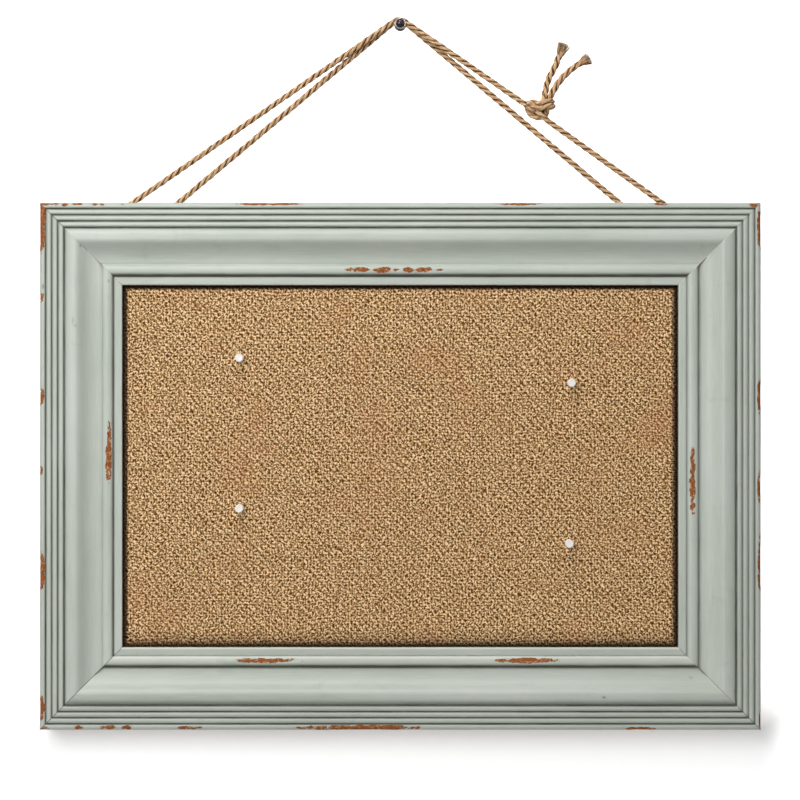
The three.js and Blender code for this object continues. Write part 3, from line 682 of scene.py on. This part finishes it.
def knot_creases(rings, path, tied, step):
    """How deep each point of the tied runs sits in the crease beside another strand, from 0 to 1, for
    painted shade in the knot.
    """
    same_strand, reach, fade = 8, 1.5, 1.2
    rows = np.concatenate([np.arange(*run) for run in tied])
    order = np.arange(len(rows))
    crease = np.zeros(rings.shape[:2])
    for i, row in enumerate(rows):
        others = path[rows[np.abs(order - i) * step > same_strand]]
        away = np.linalg.norm(rings[row][:, None] - others, axis=2).min(axis=1)
        crease[row] = np.clip((TWINE_RADIUS + reach - away) / fade, 0, 1)
    return crease


def twine_part(name, rings, values, start, end):
    mesh = tube_mesh(name, rings[start:end] * MM)
    painted = {}
    for key, numbers in values.items():
        part = numbers[start:end]
        painted[key] = np.concatenate([part.ravel(), [part[0].mean(), part[-1].mean()]])
    paint_values(mesh, **painted)
    return mesh


def hair_mesh(name, roots, directions, lengths, radii, curl, depth, sides=3, steps=4):
    """Fine tapering hairs, each from a root along its own bending direction. Depth darkens them; on the
    frayed ends it is painted shade between the plies.
    """
    count = len(roots)
    share = np.linspace(0, 1, steps + 1)
    bend = chance.normal(size=(count, 3)) * curl
    places = (
        roots[:, None]
        + directions[:, None] * (lengths[:, None] * share)[..., None]
        + bend[:, None] * (lengths[:, None] * share**2)[..., None]
    )
    helper = np.cross(directions, chance.normal(size=(count, 3)))
    helper /= np.linalg.norm(helper, axis=1)[:, None]
    other = np.cross(directions, helper)
    angles = np.linspace(0, math.tau, sides, endpoint=False)
    radius = radii[:, None] * (1 - 0.75 * share)
    offsets = helper[:, None, None] * np.cos(angles)[:, None]
    offsets = offsets + other[:, None, None] * np.sin(angles)[:, None]
    points = places[:, :, None] + offsets * radius[..., None, None]
    quads = grid_faces(steps + 1, sides, wrap_columns=True)
    caps = np.array([np.arange(sides)[::-1], steps * sides + np.arange(sides)])
    hair = np.arange(count)[:, None, None]
    start = hair * (steps + 1) * sides
    faces = [(quads + start).reshape(-1, 4), (caps + start).reshape(-1, sides)]
    mesh = new_mesh(name, points.reshape(-1, 3) * MM, faces)
    shape = points.shape[:3]
    along = np.broadcast_to(share[:, None] * lengths[:, None, None] * MM, shape)
    across = np.broadcast_to(hair * 1.37, shape)
    dark = np.broadcast_to(depth[:, :, None], shape)
    paint_values(mesh, ply_along=along, ply_across=across, ply_depth=dark, crease=0.6 * dark)
    return mesh


def frayed_end(name, tip, ahead, side, up, spread, length, lobes):
    """A brush of loose fibres where the twine is cut."""
    count = 230
    angle = chance.uniform(0, math.tau, count)
    reach = np.sqrt(chance.uniform(0, 1, count))
    flat = stack(np.cos(angle) * reach, np.sin(angle) * reach)
    lobe = np.asarray(lobes)[chance.integers(0, len(lobes), count)]
    roots = tip + (flat[:, :1] * side + flat[:, 1:] * up) * 1.75 - ahead * 2.5
    aim = flat * spread + lobe + chance.normal(size=(count, 2)) * 0.05
    directions = ahead + aim[:, :1] * side + aim[:, 1:] * up
    directions /= np.linalg.norm(directions, axis=1)[:, None]
    lengths = length * chance.uniform(0.88, 1.04, count) + 1.5
    steps = 5
    # Painted shade on fibres that lie between the plies, some fibres darker at random, and darker
    # towards the tips.
    groove = np.clip(np.cos(3 * angle), 0, 1) ** 2 * 0.9 + 0.5 * chance.uniform(0, 1, count) ** 4
    depth = groove[:, None] + 0.6 * np.linspace(0, 1, steps + 1) ** 5
    radii = chance.uniform(0.16, 0.34, count)
    return hair_mesh(name, roots, directions, lengths, radii, 0.05, np.clip(depth, 0, 1), 4, steps)


def twine_fuzz(path, ahead, sides, ups, start, end):
    """Fine fibres that stand out all along the twine."""
    count = 1900
    at = chance.integers(start, end, count)
    angle = chance.uniform(0, math.tau, count)
    outward = np.cos(angle)[:, None] * sides[at] + np.sin(angle)[:, None] * ups[at]
    lean = chance.uniform(0.15, 0.8, count)[:, None]
    directions = chance.choice([-1, 1], count)[:, None] * ahead[at] + outward * lean
    directions /= np.linalg.norm(directions, axis=1)[:, None]
    lengths = chance.uniform(1.2, 3.6, count)
    radii = chance.uniform(0.03, 0.055, count)
    depth = np.repeat(0.9 * chance.uniform(0, 1, (count, 1)) ** 4, 5, axis=1)
    return hair_mesh("twine_fuzz", path[at] + outward * 1.6, directions, lengths, radii, 0.25, depth)


def make_twine():
    step, fray = 0.5, 13
    lines = [
        smooth_path(UPPER_TAIL)[::-1],
        smooth_path(np.array(FIRST_END) + KNOT)[::-1],
        rounded_route(LOOP_CORNERS, TWINE_BEND),
        smooth_path(np.array(SECOND_END) + KNOT),
        smooth_path(LOWER_TAIL),
    ]
    runs = [even_path(line, step) for line in lines]
    path = np.vstack([run[:-1] for run in runs[:-1]] + [runs[-1]])
    ends = np.cumsum([len(run) - 1 for run in runs])
    for _ in range(4):
        path[1:-1] = (path[:-2] + 2 * path[1:-1] + path[2:]) / 4
    ahead, sides, ups = path_frames(path)
    at = np.arange(len(path))
    in_knot = (at > ends[0]) & (at < ends[1]) | (at > ends[2]) & (at < ends[3])
    in_tail = (at < ends[0]) | (at > ends[3])
    tightness = np.convolve(in_knot, np.full(9, 1 / 9), "same")
    girth = 1 + 0.13 * np.convolve(in_tail, np.full(25, 1 / 25), "same")
    rings, values = twine_rings(path, tightness, girth)
    tied = [(ends[0] - 10, ends[1] + 10), (ends[2] - 10, ends[3] + 10)]
    values["crease"] = knot_creases(rings, path, tied, step)
    material = twine_look()

    def add_twine(mesh, *nodes):
        return add_piece(mesh.name, mesh, material, "board", "twine", *nodes)

    first_tip, last_tip = fray, len(path) - 1 - fray
    spans = {
        "twine_tail_upper": ("twine_upper_tail", first_tip, ends[0] + 1),
        "twine_loop_strand": ("twine_loop", ends[1], ends[2] + 1),
        "twine_tail_lower": ("twine_lower_tail", ends[3], last_tip + 1),
    }
    for name, (node, start, end) in spans.items():
        add_twine(twine_part(name, rings, values, start, end), node)
    halves = [
        twine_part("knot_first", rings, values, ends[0], ends[1] + 1),
        twine_part("knot_second", rings, values, ends[2], ends[3] + 1),
    ]
    knot_piece = add_twine(joined_mesh("twine_overhand", halves), "twine_knot")
    upper = (path[first_tip], -ahead[first_tip], sides[first_tip], ups[first_tip])
    lower = (path[last_tip], ahead[last_tip], sides[last_tip], ups[last_tip])
    frays = [
        add_twine(frayed_end("twine_fray_upper", *upper, 0.28, 11.2, [(0.1, 0), (-0.05, 0)])),
        add_twine(frayed_end("twine_fray_lower", *lower, 0.11, 9, [(0.25, 0.1), (-0.22, -0.06)])),
    ]
    fuzz_piece = add_twine(twine_fuzz(path, ahead, sides, ups, first_tip + 4, last_tip - 4))

    def length_of(start, end):
        return float(distances(path[start:end])[-1]) * MM

    for name, extras, far_end, lay in (
        ("twine_loop_strand", [knot_piece, fuzz_piece], "knot", "taut"),
        ("twine_tail_upper", frays[:1], "bare", "loose"),
        ("twine_tail_lower", frays[1:], "bare", "loose"),
    ):
        _, start, end = spans[name]
        length_of(start, end)
        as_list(extras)


# Frame


def moulding_profile():
    """Outline of the moulding as (distance from the outer edge, height above the back)."""
    parts = [np.linspace((0, 0), (0, SIDE_HEIGHT), 17)]
    for reed in range(4):
        left, foot = reed * 5.0, SIDE_HEIGHT + reed
        shape = [(left, foot), (left + 0.6, foot + 2.9), (left + 4.4, foot + 3.9), (left + 5, foot + 1)]
        parts.append(bezier(shape, 14))
    crest = (29.39, 33)
    parts += [
        [(20.4, 27.6), (20.8, 27.6)],
        bezier([(20.8, 27.6), (20.8, 31.49), (25.1, 33), crest], 16),
        bezier([crest, (34.41, 33), (36.46, 24.4), (48, 24.4)], 34),
        [(49, 24.15), (50, 23.9)],
        bezier([(50, 23.9), (50, 28.3), (59.2, 28.3), (59.2, 23.9)], 22),
        [(59.6, 24.45), (60, 25)],
        np.linspace((60.8, 25), (65.1, 25), 7),
        arc((65.1, 24.1), (0.9, 0.9), math.pi / 2, 0, 4)[1:],
        np.linspace((66, 23.3), (66, 20), 5),
        np.linspace((64.5, 20), (59.8, 20), 4),
        np.linspace((59.8, 17.5), (59.8, 0), 9),
        np.linspace((57, 0), (2, 0), 20),
    ]
    return np.vstack(parts)


# Lost paint on each rail: middle along it, half length, middle and half width across it, strength.
# Along is X or Z from the board's middle, and across is from the outer edge, both in millimetres.
CHIPS = {
    "left": [
        (192.5, 18.6, 1.9, 2.8, 1.5), (134.9, 3.4, 1.5, 2.2, 1.3), (56, 7, 1.6, 2.4, 1.25),
        (-3, 3, 1.2, 1.5, 1.1), (-84.5, 14, 1.8, 2.6, 1.35), (-193.5, 8, 1.8, 2.6, 1.3),
        (20, 15, 56.2, 1.7, 1.15), (3, 14, 55.4, 2.2, 1.25),
    ],
    "top": [
        (-285, 4, 0.8, 1.6, 1.3), (-278, 4, 1.2, 1, 1.15), (-268.5, 2.2, 1.6, 1.3, 1.25),
        (-259.3, 4, 1.1, 1.1, 1.2), (-244.8, 1.8, 1.2, 0.9, 1.2), (-238.8, 1.4, 1.4, 0.9, 1.1),
        (-222, 1.5, 1.2, 0.7, 1.05), (-107, 26, 1.1, 1.1, 0.95), (94, 18, 1.1, 1.1, 1.0),
        (209, 5.5, 1.2, 1.3, 1.1), (284, 4, 1.6, 2, 1.2), (-34.2, 8.5, 53.8, 1.8, 1.2),
        (-14.6, 6, 53.8, 2.2, 1.4), (-2.6, 2.4, 53.8, 1.7, 1.25), (6.6, 3.8, 53.9, 1.9, 1.3),
        (19.3, 6, 53.8, 2, 1.35), (31, 3, 54, 1, 1.1),
    ],
    "right": [
        (189, 15, 1.2, 2, 1.15), (57, 12, 1.2, 1.7, 1.15), (-15, 12, 1.2, 1.6, 1.1),
        (-79, 20, 0.9, 1.7, 1.1), (-203.5, 6.5, 0.2, 1.4, 1.2), (-14, 25, 55, 2.3, 1.15),
    ],
    "bottom": [
        (-257, 3, 2.2, 1.5, 1.2), (-238.5, 2, 2.2, 1.3, 1.15), (-232, 4, 2.2, 1.6, 1.2),
        (-218.5, 4, 2.2, 1.6, 1.15), (-168, 9, 2, 1.3, 1.05), (-33, 41, 2, 2.1, 1.35),
        (192, 11, 1.1, 1.3, 1.15), (-285, 3.5, 1, 2, 1.2), (-104, 25, 55.8, 1.8, 1.0),
        (102, 22, 55.8, 1.9, 1.12),
    ],
}

# Painted shade and grime in the grooves of each rail, set per rail to follow the light: distance from
# the outer edge, half width and depth.
GROOVE_SHADE_AND_GRIME = {
    "top": [(4.9, 0.85, 1), (9.9, 0.85, 0.9), (14.9, 0.85, 1), (20.2, 1, 1), (58.3, 1.5, 1.2)],
    "right": [
        (4.9, 0.85, 0.6), (9.9, 0.85, 0.3), (14.9, 0.85, 0.45),
        (20.2, 1, 0.9), (49.3, 1.2, 0.8), (59.2, 0.9, 0.35),
    ],
    "bottom": [
        (4.9, 0.85, 1), (9.9, 0.85, 0.9), (14.9, 0.85, 0.95), (20.2, 1, 0.9),
        (21.8, 2.2, 0.55), (51, 1.6, 1.25), (62.6, 2.4, 0.13),
    ],
    "left": [
        (4.9, 0.85, 0.9), (9.9, 0.85, 0.75), (14.9, 0.85, 0.85),
        (20.2, 1, 1), (49.9, 0.7, 0.25), (58.9, 1.1, 0.85),
    ],
}

# Small scuffs in the paint, in the same terms as the chips.
SCUFFS = {
    "bottom": [(162.5, 1.2, 27, 0.9, 0.9), (232.5, 1.2, 41.9, 0.8, 0.5)],
    "right": [(-179.4, 2.2, 20.6, 1, 0.9)],
    "left": [
        (116.4, 2.4, 27.6, 0.7, 0.45), (112.5, 0.9, 29.6, 1.2, 0.4), (144, 2, 2.9, 0.9, 0.7),
        (136.8, 1.6, 4.9, 0.9, 0.9), (148.2, 1.2, 55.5, 0.8, 0.5), (177, 2, 33.4, 0.7, 0.6),
    ],
}

# Pale paint on each rail's edges, partly worn paint and partly painted highlight where an edge faces
# the light: distance from the outer edge, half width and strength.
WORN_AND_LIT_EDGES = {"bottom": [(65.7, 0.7, 0.8), (58.6, 0.9, 0.6)], "left": [(65.7, 0.6, 0.3)]}

# The mitres: start and end from the outer edge, grime, and a pale line along the joint that is partly
# worn paint and partly painted highlight.
MITRES = {
    "left_top": [
        (0, 20.5, 0.95, 0), (20.5, 31, 0, 0.35), (34, 38, 0.5, 0),
        (39, 50, 0, 0.5), (58, 60.5, 0.6, 0), (63, 66, 0.7, 0),
    ],
    "top_right": [(0, 20.5, 0.35, 0), (20.5, 66, 0, 0.6)],
    "bottom_left": [(0, 66, 1, 0)],
    "right_bottom": [(0, 20.5, 1, 0), (20.5, 50, 0.5, 0), (50, 60, 0, 0.4), (60, 66, 0.8, 0)],
}


def spots(rows, lengthways, crossways):
    """Each spot's strength, and how far every point is from it, in half widths squared."""
    for middle, length, across, width, strength in rows:
        yield strength, ((lengthways - middle) / length) ** 2 + ((crossways - across) / width) ** 2


def line_marks(rows, inset):
    """The strongest line that runs along a rail, at each place across it."""
    marks = [depth * np.exp(-(((inset - middle) / width) ** 2)) for middle, width, depth in rows]
    return np.max(marks + [inset * 0], axis=0)


def mitre_marks(name, share, half_length, inset):
    """Grime and a pale line, partly painted highlight, along the joints at both ends of a rail."""
    grime, rub = np.zeros((2, len(share), len(inset)))
    for joint, rows in MITRES.items():
        if name in joint.split("_"):
            end = 1 if joint.startswith(f"{name}_") else -1
            near = np.interp((1 - share * end) * half_length, (0.1, 0.5), (1, 0))[:, None]
            for start, stop, dirty, pale in rows:
                within = near * ((inset >= start) & (inset <= stop))
                grime = np.maximum(grime, within * dirty)
                rub = np.maximum(rub, within * pale)
    return grime, rub


def make_rails():
    spacing, chip_depth = 1.5, 0.28
    profile = moulding_profile()
    travelled = distances(profile)
    around = np.vstack([profile[-1:], profile, profile[:1]])
    direction = around[2:] - around[:-2]
    normal = stack(-direction[:, 1], direction[:, 0])
    normal /= np.linalg.norm(normal, axis=1)[:, None]
    inset, height = profile.T
    corner = int(np.argmax(travelled >= SIDE_HEIGHT))
    front_end = int(np.argmax((inset > 65.9) & (height < 20.5)))
    place = np.where(np.arange(len(profile)) < corner, height - SIDE_HEIGHT, inset)
    on_front = np.arange(len(profile)) <= front_end
    wood = ((150, 112, 74), (186, 148, 104))
    relief = (0.3, 0.0003)
    painted = paint_look()
    bare = grained_look(
        "bare_wood", wood, (0.3, 0.7), (90, 5), relief, stretch=(1, 1, 14), Roughness=0.75
    )
    half = (SIGHT[0] / 2 + MOULDING_WIDTH, SIGHT[1] / 2 + MOULDING_WIDTH)
    # Which way each rail faces and runs, in X and Z, its half length and how far out it is
    rails = {
        "top": ((0, 1), (1, 0), half[0], half[1]),
        "right": ((1, 0), (0, -1), half[1], half[0]),
        "bottom": ((0, -1), (-1, 0), half[0], half[1]),
        "left": ((-1, 0), (0, 1), half[1], half[0]),
    }
    for order, (name, (outward, along, half_length, reach)) in enumerate(rails.items()):
        share = np.linspace(-1, 1, round(2 * half_length / spacing) + 1)
        close = 1 - np.array([0, 0.3, 0.7]) / half_length
        share = np.concatenate([-close, share[1:-1], close[::-1]])
        run = share[:, None] * (half_length - inset - MITRE_GAP / math.sqrt(2))
        world_run = run * (along[0] + along[1])
        chips = spots(CHIPS[name], world_run, place)
        wear = [strength * np.clip(1 - 0.5 * away, 0, 1) for strength, away in chips]
        wear = np.max(wear, axis=0) * on_front
        places = stack(run, travelled)
        uneven = 0.05 * waves(places, (90, 40), 3 + order) + 0.02 * waves(places, (14, 8), 20 + order)
        lowered = chip_depth * np.clip((wear - 0.45) / 0.3, 0, 1)
        ease = np.clip((1 - np.abs(share)) * half_length / 2.0, 0, 1)[:, None]
        offset = (uneven * ease - lowered) * on_front
        shift_inset = inset + offset * normal[:, 0]
        shift_height = height + offset * normal[:, 1]
        outside = reach - shift_inset
        points = stack(
            outward[0] * outside + along[0] * run,
            -WALL_GAP - shift_height,
            outward[1] * outside + along[1] * run - FRAME_DROP,
        )
        mesh = tube_mesh(name, points * MM)
        grime, rub = mitre_marks(name, share, half_length, inset)
        # Painted shade and grime in the grooves, together with the dark scuffs and the dark mitre
        # joints.
        shade_and_dirt = line_marks(GROOVE_SHADE_AND_GRIME[name], inset) * (0.9 + 0.1 * waves(places, (35, 9), 50 + order))
        # Painted highlight with some wear along the edges and the mitres.
        wear_and_highlight = line_marks(WORN_AND_LIT_EDGES.get(name, []), inset)
        wear_and_highlight = wear_and_highlight * (0.85 + 0.15 * waves(places, (25, 9), 60 + order))
        shade_and_dirt, wear_and_highlight = np.maximum(shade_and_dirt, grime) * on_front, np.maximum(wear_and_highlight, rub) * on_front
        for strength, away in spots(SCUFFS.get(name, []), world_run, place):
            shade_and_dirt = np.maximum(shade_and_dirt, strength * np.exp(-away))
        shade_and_dirt, wear_and_highlight = np.clip(shade_and_dirt, 0, 1), np.clip(wear_and_highlight, 0, 1)
        lines = {
            "along": run * MM + order,
            "across": np.broadcast_to(travelled, run.shape) * MM,
            "side": np.full(run.shape, 0.37 * order),
            "wear": wear,
            "dirt_and_shade": shade_and_dirt,
            "wear_and_highlight": wear_and_highlight,
        }
        paint_values(mesh, **{key: np.append(numbers, [0, 0]) for key, numbers in lines.items()})
        mesh.materials.append(painted)
        mesh.materials.append(bare)
        slots = np.tile((~on_front).astype(np.int32), len(share) - 1)
        slots = np.concatenate([slots, np.ones(2 * len(profile), dtype=np.int32)])
        mesh.polygons.foreach_set("material_index", slots)
        piece = add_object(f"{name}_moulding", mesh)
        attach(piece, "board")
        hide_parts(f"{name}_rail")


# Burlap


def cloth_line(pad_half, panel_half):
    """The cloth's way from the board's middle: (outwards, back from the face), in millimetres."""
    pad_round, step, panel_round, depth, turn_in = 3.6, 3.3, 4.0, 16.0, 25.0
    quarter, edge = math.pi / 2, panel_half - panel_round
    parts = [
        [(0, 0)],
        arc((pad_half - pad_round, pad_round), (pad_round,) * 2, -quarter, -0.085, 10),
        [(pad_half + 0.4, step)],
        arc((edge, step + panel_round), (panel_round,) * 2, -quarter, 0, 5),
        arc((edge, depth - panel_round), (panel_round,) * 2, 0, quarter, 5),
        [(panel_half - turn_in, depth)],
    ]
    return np.vstack(parts)


def make_burlap():
    """One sheet: the raised face, the step down to the flange, the sides and the returns behind."""
    gap, panel = 1.2, (457.2 / 2, 301.9 / 2)
    pad = (SIGHT[0] / 2 - gap, SIGHT[1] / 2 - gap)
    front, spacing, pitch, fine_reach, flange_fall = -33.0, 0.84, 2.93, 6.5, 3.31

    def follow(flat, line):
        """Where a flat measure from the middle goes, and the cloth's own direction there."""
        travelled = distances(line)
        slopes = np.gradient(line, travelled, axis=0)
        reach, fall, ahead, back = (
            np.interp(np.abs(flat), travelled, column) for column in (*line.T, *slopes.T)
        )
        return np.sign(flat) * reach, fall, ahead, np.sign(flat) * back

    def stations(line, seen):
        travelled = distances(line)
        count = math.ceil(seen / spacing)
        fine = np.arange(-count, count + 1) * spacing
        outer = travelled[travelled > fine[-1] + 0.4]
        return np.concatenate([-outer[::-1], fine, outer])

    lines = [cloth_line(pad[axis], panel[axis]) for axis in (0, 1)]
    across, upward = (stations(lines[axis], pad[axis] + fine_reach) for axis in (0, 1))
    flat = stack(across, upward[:, None])
    stray = stack(waves(flat, (150, 80), 71), waves(flat, (80, 150), 72)) * 0.45
    stray += stack(waves(flat, (24, 12), 73), waves(flat, (12, 24), 74)) * 0.12
    warp, weft = np.moveaxis(flat / pitch + 200 + stray, -1, 0)
    rise, cross = np.cos(math.pi * (warp + weft)), np.cos(math.pi * (warp - weft))
    relief = 0.2 - 0.7 * (0.5 + 0.5 * rise) ** 1.6 * (0.65 + 0.35 * cross)
    relief += 0.07 * chance.normal(size=relief.shape)
    reach_x, fall_x, ahead_x, back_x = follow(flat[..., 0], lines[0])
    reach_z, fall_z, ahead_z, back_z = follow(flat[..., 1], lines[1])
    fall = np.maximum(fall_x, fall_z)
    relief *= fall < 3.4
    # Painted shade in the recess between the cloth and the frame's lip on each side, reaching furthest
    # in at the bottom.
    shaded = [
        np.interp(SIGHT[0] / 2 + reach_x, (2.8, 3.6, 4.2, 5.2), (0.95, 0.85, 0.6, 0)),
        np.interp(SIGHT[0] / 2 - reach_x, (1.6, 3.2, 4.4, 6.4), (0.95, 0.85, 0.6, 0)),
        np.interp(SIGHT[1] / 2 - reach_z, (2, 2.8, 3.5, 4.6), (1, 0.9, 0.6, 0)),
        np.interp(SIGHT[1] / 2 + reach_z, (1.2, 3.4, 5.6, 9, 15), (0.9, 0.7, 0.42, 0.2, 0)),
    ]
    sunk = np.maximum.reduce(shaded)
    points = stack(
        reach_x + relief * back_x,
        front + fall - relief * ahead_x * ahead_z,
        reach_z + relief * back_z - FRAME_DROP,
    )
    rows, columns = len(upward), len(across)
    faces = grid_faces(rows, columns)
    turn_x, turn_z = (fall_x > flange_fall)[0], (fall_z > flange_fall)[:, 0]
    beyond = (turn_x[:-1] | turn_x[1:])[None, :] & (turn_z[:-1] | turn_z[1:])[:, None]
    faces = faces[~beyond.ravel()]
    used = np.unique(faces)
    number = np.full(rows * columns, -1)
    number[used] = np.arange(len(used))
    mesh = new_mesh("burlap_sheet", points.reshape(-1, 3)[used] * MM, [number[faces]])
    paint_values(mesh, warp=warp.ravel()[used], weft=weft.ravel()[used], sunk=sunk.ravel()[used])
    piece = add_piece("burlap_sheet", mesh, burlap_look(), "board", "burlap", "burlap_cover")


# Pins, nail, screw eyes and bumpers


def make_pins():
    white = ((240, 234, 228), (228, 220, 214))
    coat = {"Coat_Weight": 0.4, "Coat_Roughness": 0.1, "Subsurface_Weight": 0.05}
    relief, gloss = (0.05, 0.0002), (0.28, 0.38)
    plastic = grained_look("pin_plastic", white, (0.4, 0.7), (500, 3), relief, gloss, **coat)
    steel = metal_look("needle_steel", ((170, 170, 168), (214, 214, 210)), 0.25, 600, (1, 0.1, 1))
    spool = [
        [(0, 0), (2.6, 0)],
        arc((2.7, -0.5), (0.5, 0.5), math.pi / 2, 0, 6),
        arc((2.7, -0.8), (0.5, 0.5), 0, -math.pi / 2, 6)[:-1],
        arc((2.7, -4.25), (-0.7, 2.95), -math.pi / 2, math.pi / 2, 16)[::-1],
        arc((2.8, -7.7), (0.5, 0.5), math.pi / 2, 0, 5)[1:],
        arc((2.8, -10.1), (0.5, 0.5), 0, -math.pi / 2, 8),
        [(2.2, -10.56), (1.4, -10.4), (0.6, -10.29), (0, -10.25)],
    ]
    needle = [(0, -6), (0.55, -6), (0.55, 0), (0.55, 8), (0.42, 8.8), (0.2, 9.6), (0, 10)]
    for name, x, z in (
        ("upper_left_pin", -128.6, 86.8),
        ("upper_right_pin", 136.7, 66.8),
        ("lower_left_pin", -128.6, -33.4),
        ("lower_right_pin", 135, -61.6),
    ):
        place = (x, -33.3, z - FRAME_DROP)
        mesh = turned_mesh(f"{name}_spool", spool, place)
        add_piece(f"{name}_spool", mesh, plastic, name, "white_plastic", f"{name}_head")
        mesh = turned_mesh(f"{name}_shaft", needle, place, 20)
        add_piece(f"{name}_shaft", mesh, steel, name, "steel", f"{name}_needle")


def make_nail():
    collar, strand_room = 1.3, 4.6
    waist_front = collar + 2 * strand_room + 0.6
    rim_front = -waist_front - 1.1
    profile = [
        arc((0, rim_front), (3.6, 3.1), -math.pi / 2, -0.12, 20),
        [(3.75, rim_front + 0.1), (3.95, rim_front + 0.02)],
        arc((4.3, rim_front + 0.4), (0.4, 0.4), -math.pi / 2, 0, 6),
        arc((4.4, -waist_front - 0.3), (0.3, 0.3), 0, math.pi / 2, 4),
        [(1.25, -waist_front), (1, -waist_front + 0.3), (1, -1.6), (1.25, -collar)],
        arc((4.5, -1.0), (0.3, 0.3), -math.pi / 2, 0, 4),
        arc((4.5, -0.3), (0.3, 0.3), 0, math.pi / 2, 4),
        [(1, 0), (1, 22), (0.5, 24.4), (0, 26)],
    ]
    mesh = turned_mesh("nail_turned", profile, (0, 0, 0), 64)
    add_piece("nail_turned", mesh, nail_look(), "nail", "nail_steel", "hanging_nail")


def make_eyes():
    brass = metal_look("eye_brass", ((186, 158, 100), (222, 196, 136)), 0.3)
    below_edge, ring, wire = 22.25, 3.6, 0.9
    sections, sides = 40, 14
    top = FRAME_DROP - SIGHT[1] / 2 - MOULDING_WIDTH + below_edge
    angles = np.linspace(0, math.tau, sections, endpoint=False)[:, None]
    spins = np.linspace(0, math.tau, sides, endpoint=False)
    reach = ring + wire * np.cos(spins)
    wide, deep, thick = reach * np.cos(angles), reach * np.sin(angles), wire * np.sin(spins)
    depths = np.linspace(-4.2, -13.2, 46)
    thread = stack(wire + 0.1 * np.sin(depths * math.tau / 1.1), depths)
    for name, x, turn in (
        ("left_outer", -241.4, -24),
        ("left_inner", -209.3, 64),
        ("right_inner", 206.7, -64),
        ("right_outer", 235.7, 24),
    ):
        cosine, sine = math.cos(math.radians(turn)), math.sin(math.radians(turn))
        turned = stack(wide * cosine + thick * sine, deep, thick * cosine - wide * sine)
        place = (x, -5.2, -top)
        points = (turned.reshape(-1, 3) + place) * MM
        loop = new_mesh(f"{name}_ring", points, [grid_faces(sections, sides, True, True)])
        profile = [[(0, -ring), (wire, -ring)], thread, [(0, -16.2)]]
        shank = turned_mesh(f"{name}_shank", profile, place, 18)
        mesh = joined_mesh(f"{name}_eye", [loop, shank])
        add_piece(f"{name}_eye", mesh, brass, "board", "brass_plate", f"{name}_screw_eye")


def make_bumpers():
    grey = ((34, 34, 34), (56, 54, 52))
    rubber = grained_look("bumper_rubber", grey, (0, 1), (1200, 4), (0.2, 0.0002), (0.7, 0.9))
    above_edge = 24
    low = -FRAME_DROP - SIGHT[1] / 2 - MOULDING_WIDTH + above_edge
    profile = [
        [(0, -9.7), (6.1, -9.7)],
        arc((6.1, -9.4), (0.3, 0.3), -math.pi / 2, 0, 4),
        [(6.4, -8.9), (5.4, -0.9)],
        arc((4.6, -0.8), (0.8, 0.8), 0, math.pi / 2, 8),
        [(0, 0)],
    ]
    for name, x in (("left", -264.8), ("right", 264.8)):
        mesh = turned_mesh(f"{name}_foot", profile, (x, 0, low), 40)
        add_piece(f"{name}_foot", mesh, rubber, "board", "rubber", f"{name}_bumper")


def dress_nodes():
    """Materials for the construction's own solids."""
    steel = metal_look("bright_steel", ((164, 164, 160), (206, 206, 202)), 0.35, 900, (1, 1, 0.2))
    felt = ((146, 112, 74), (176, 142, 100))
    noise, relief = (700, 5, 0.7), (0.4, 0.0003)
    core = grained_look("fibreboard_felt", felt, (0.3, 0.7), noise, relief, Roughness=0.9)
    looks = {"cork_sheet": cork_look(), "fibreboard_core": core, "hardboard_back": hardboard_look()}
    for name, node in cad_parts.items():
        ending = name.rsplit("_", 1)[0]
        material = looks.get(name)
        if material is None and (name.endswith("_wedge") or ending.endswith(("_point", "_staple"))):
            material = steel
        if material:
            node.data.materials.clear()
            node.data.materials.append(material)


make_camera()
make_twine()
make_light()
make_stage()
make_rails()
make_burlap()
make_pins()
make_nail()
make_eyes()
make_bumpers()
dress_nodes()
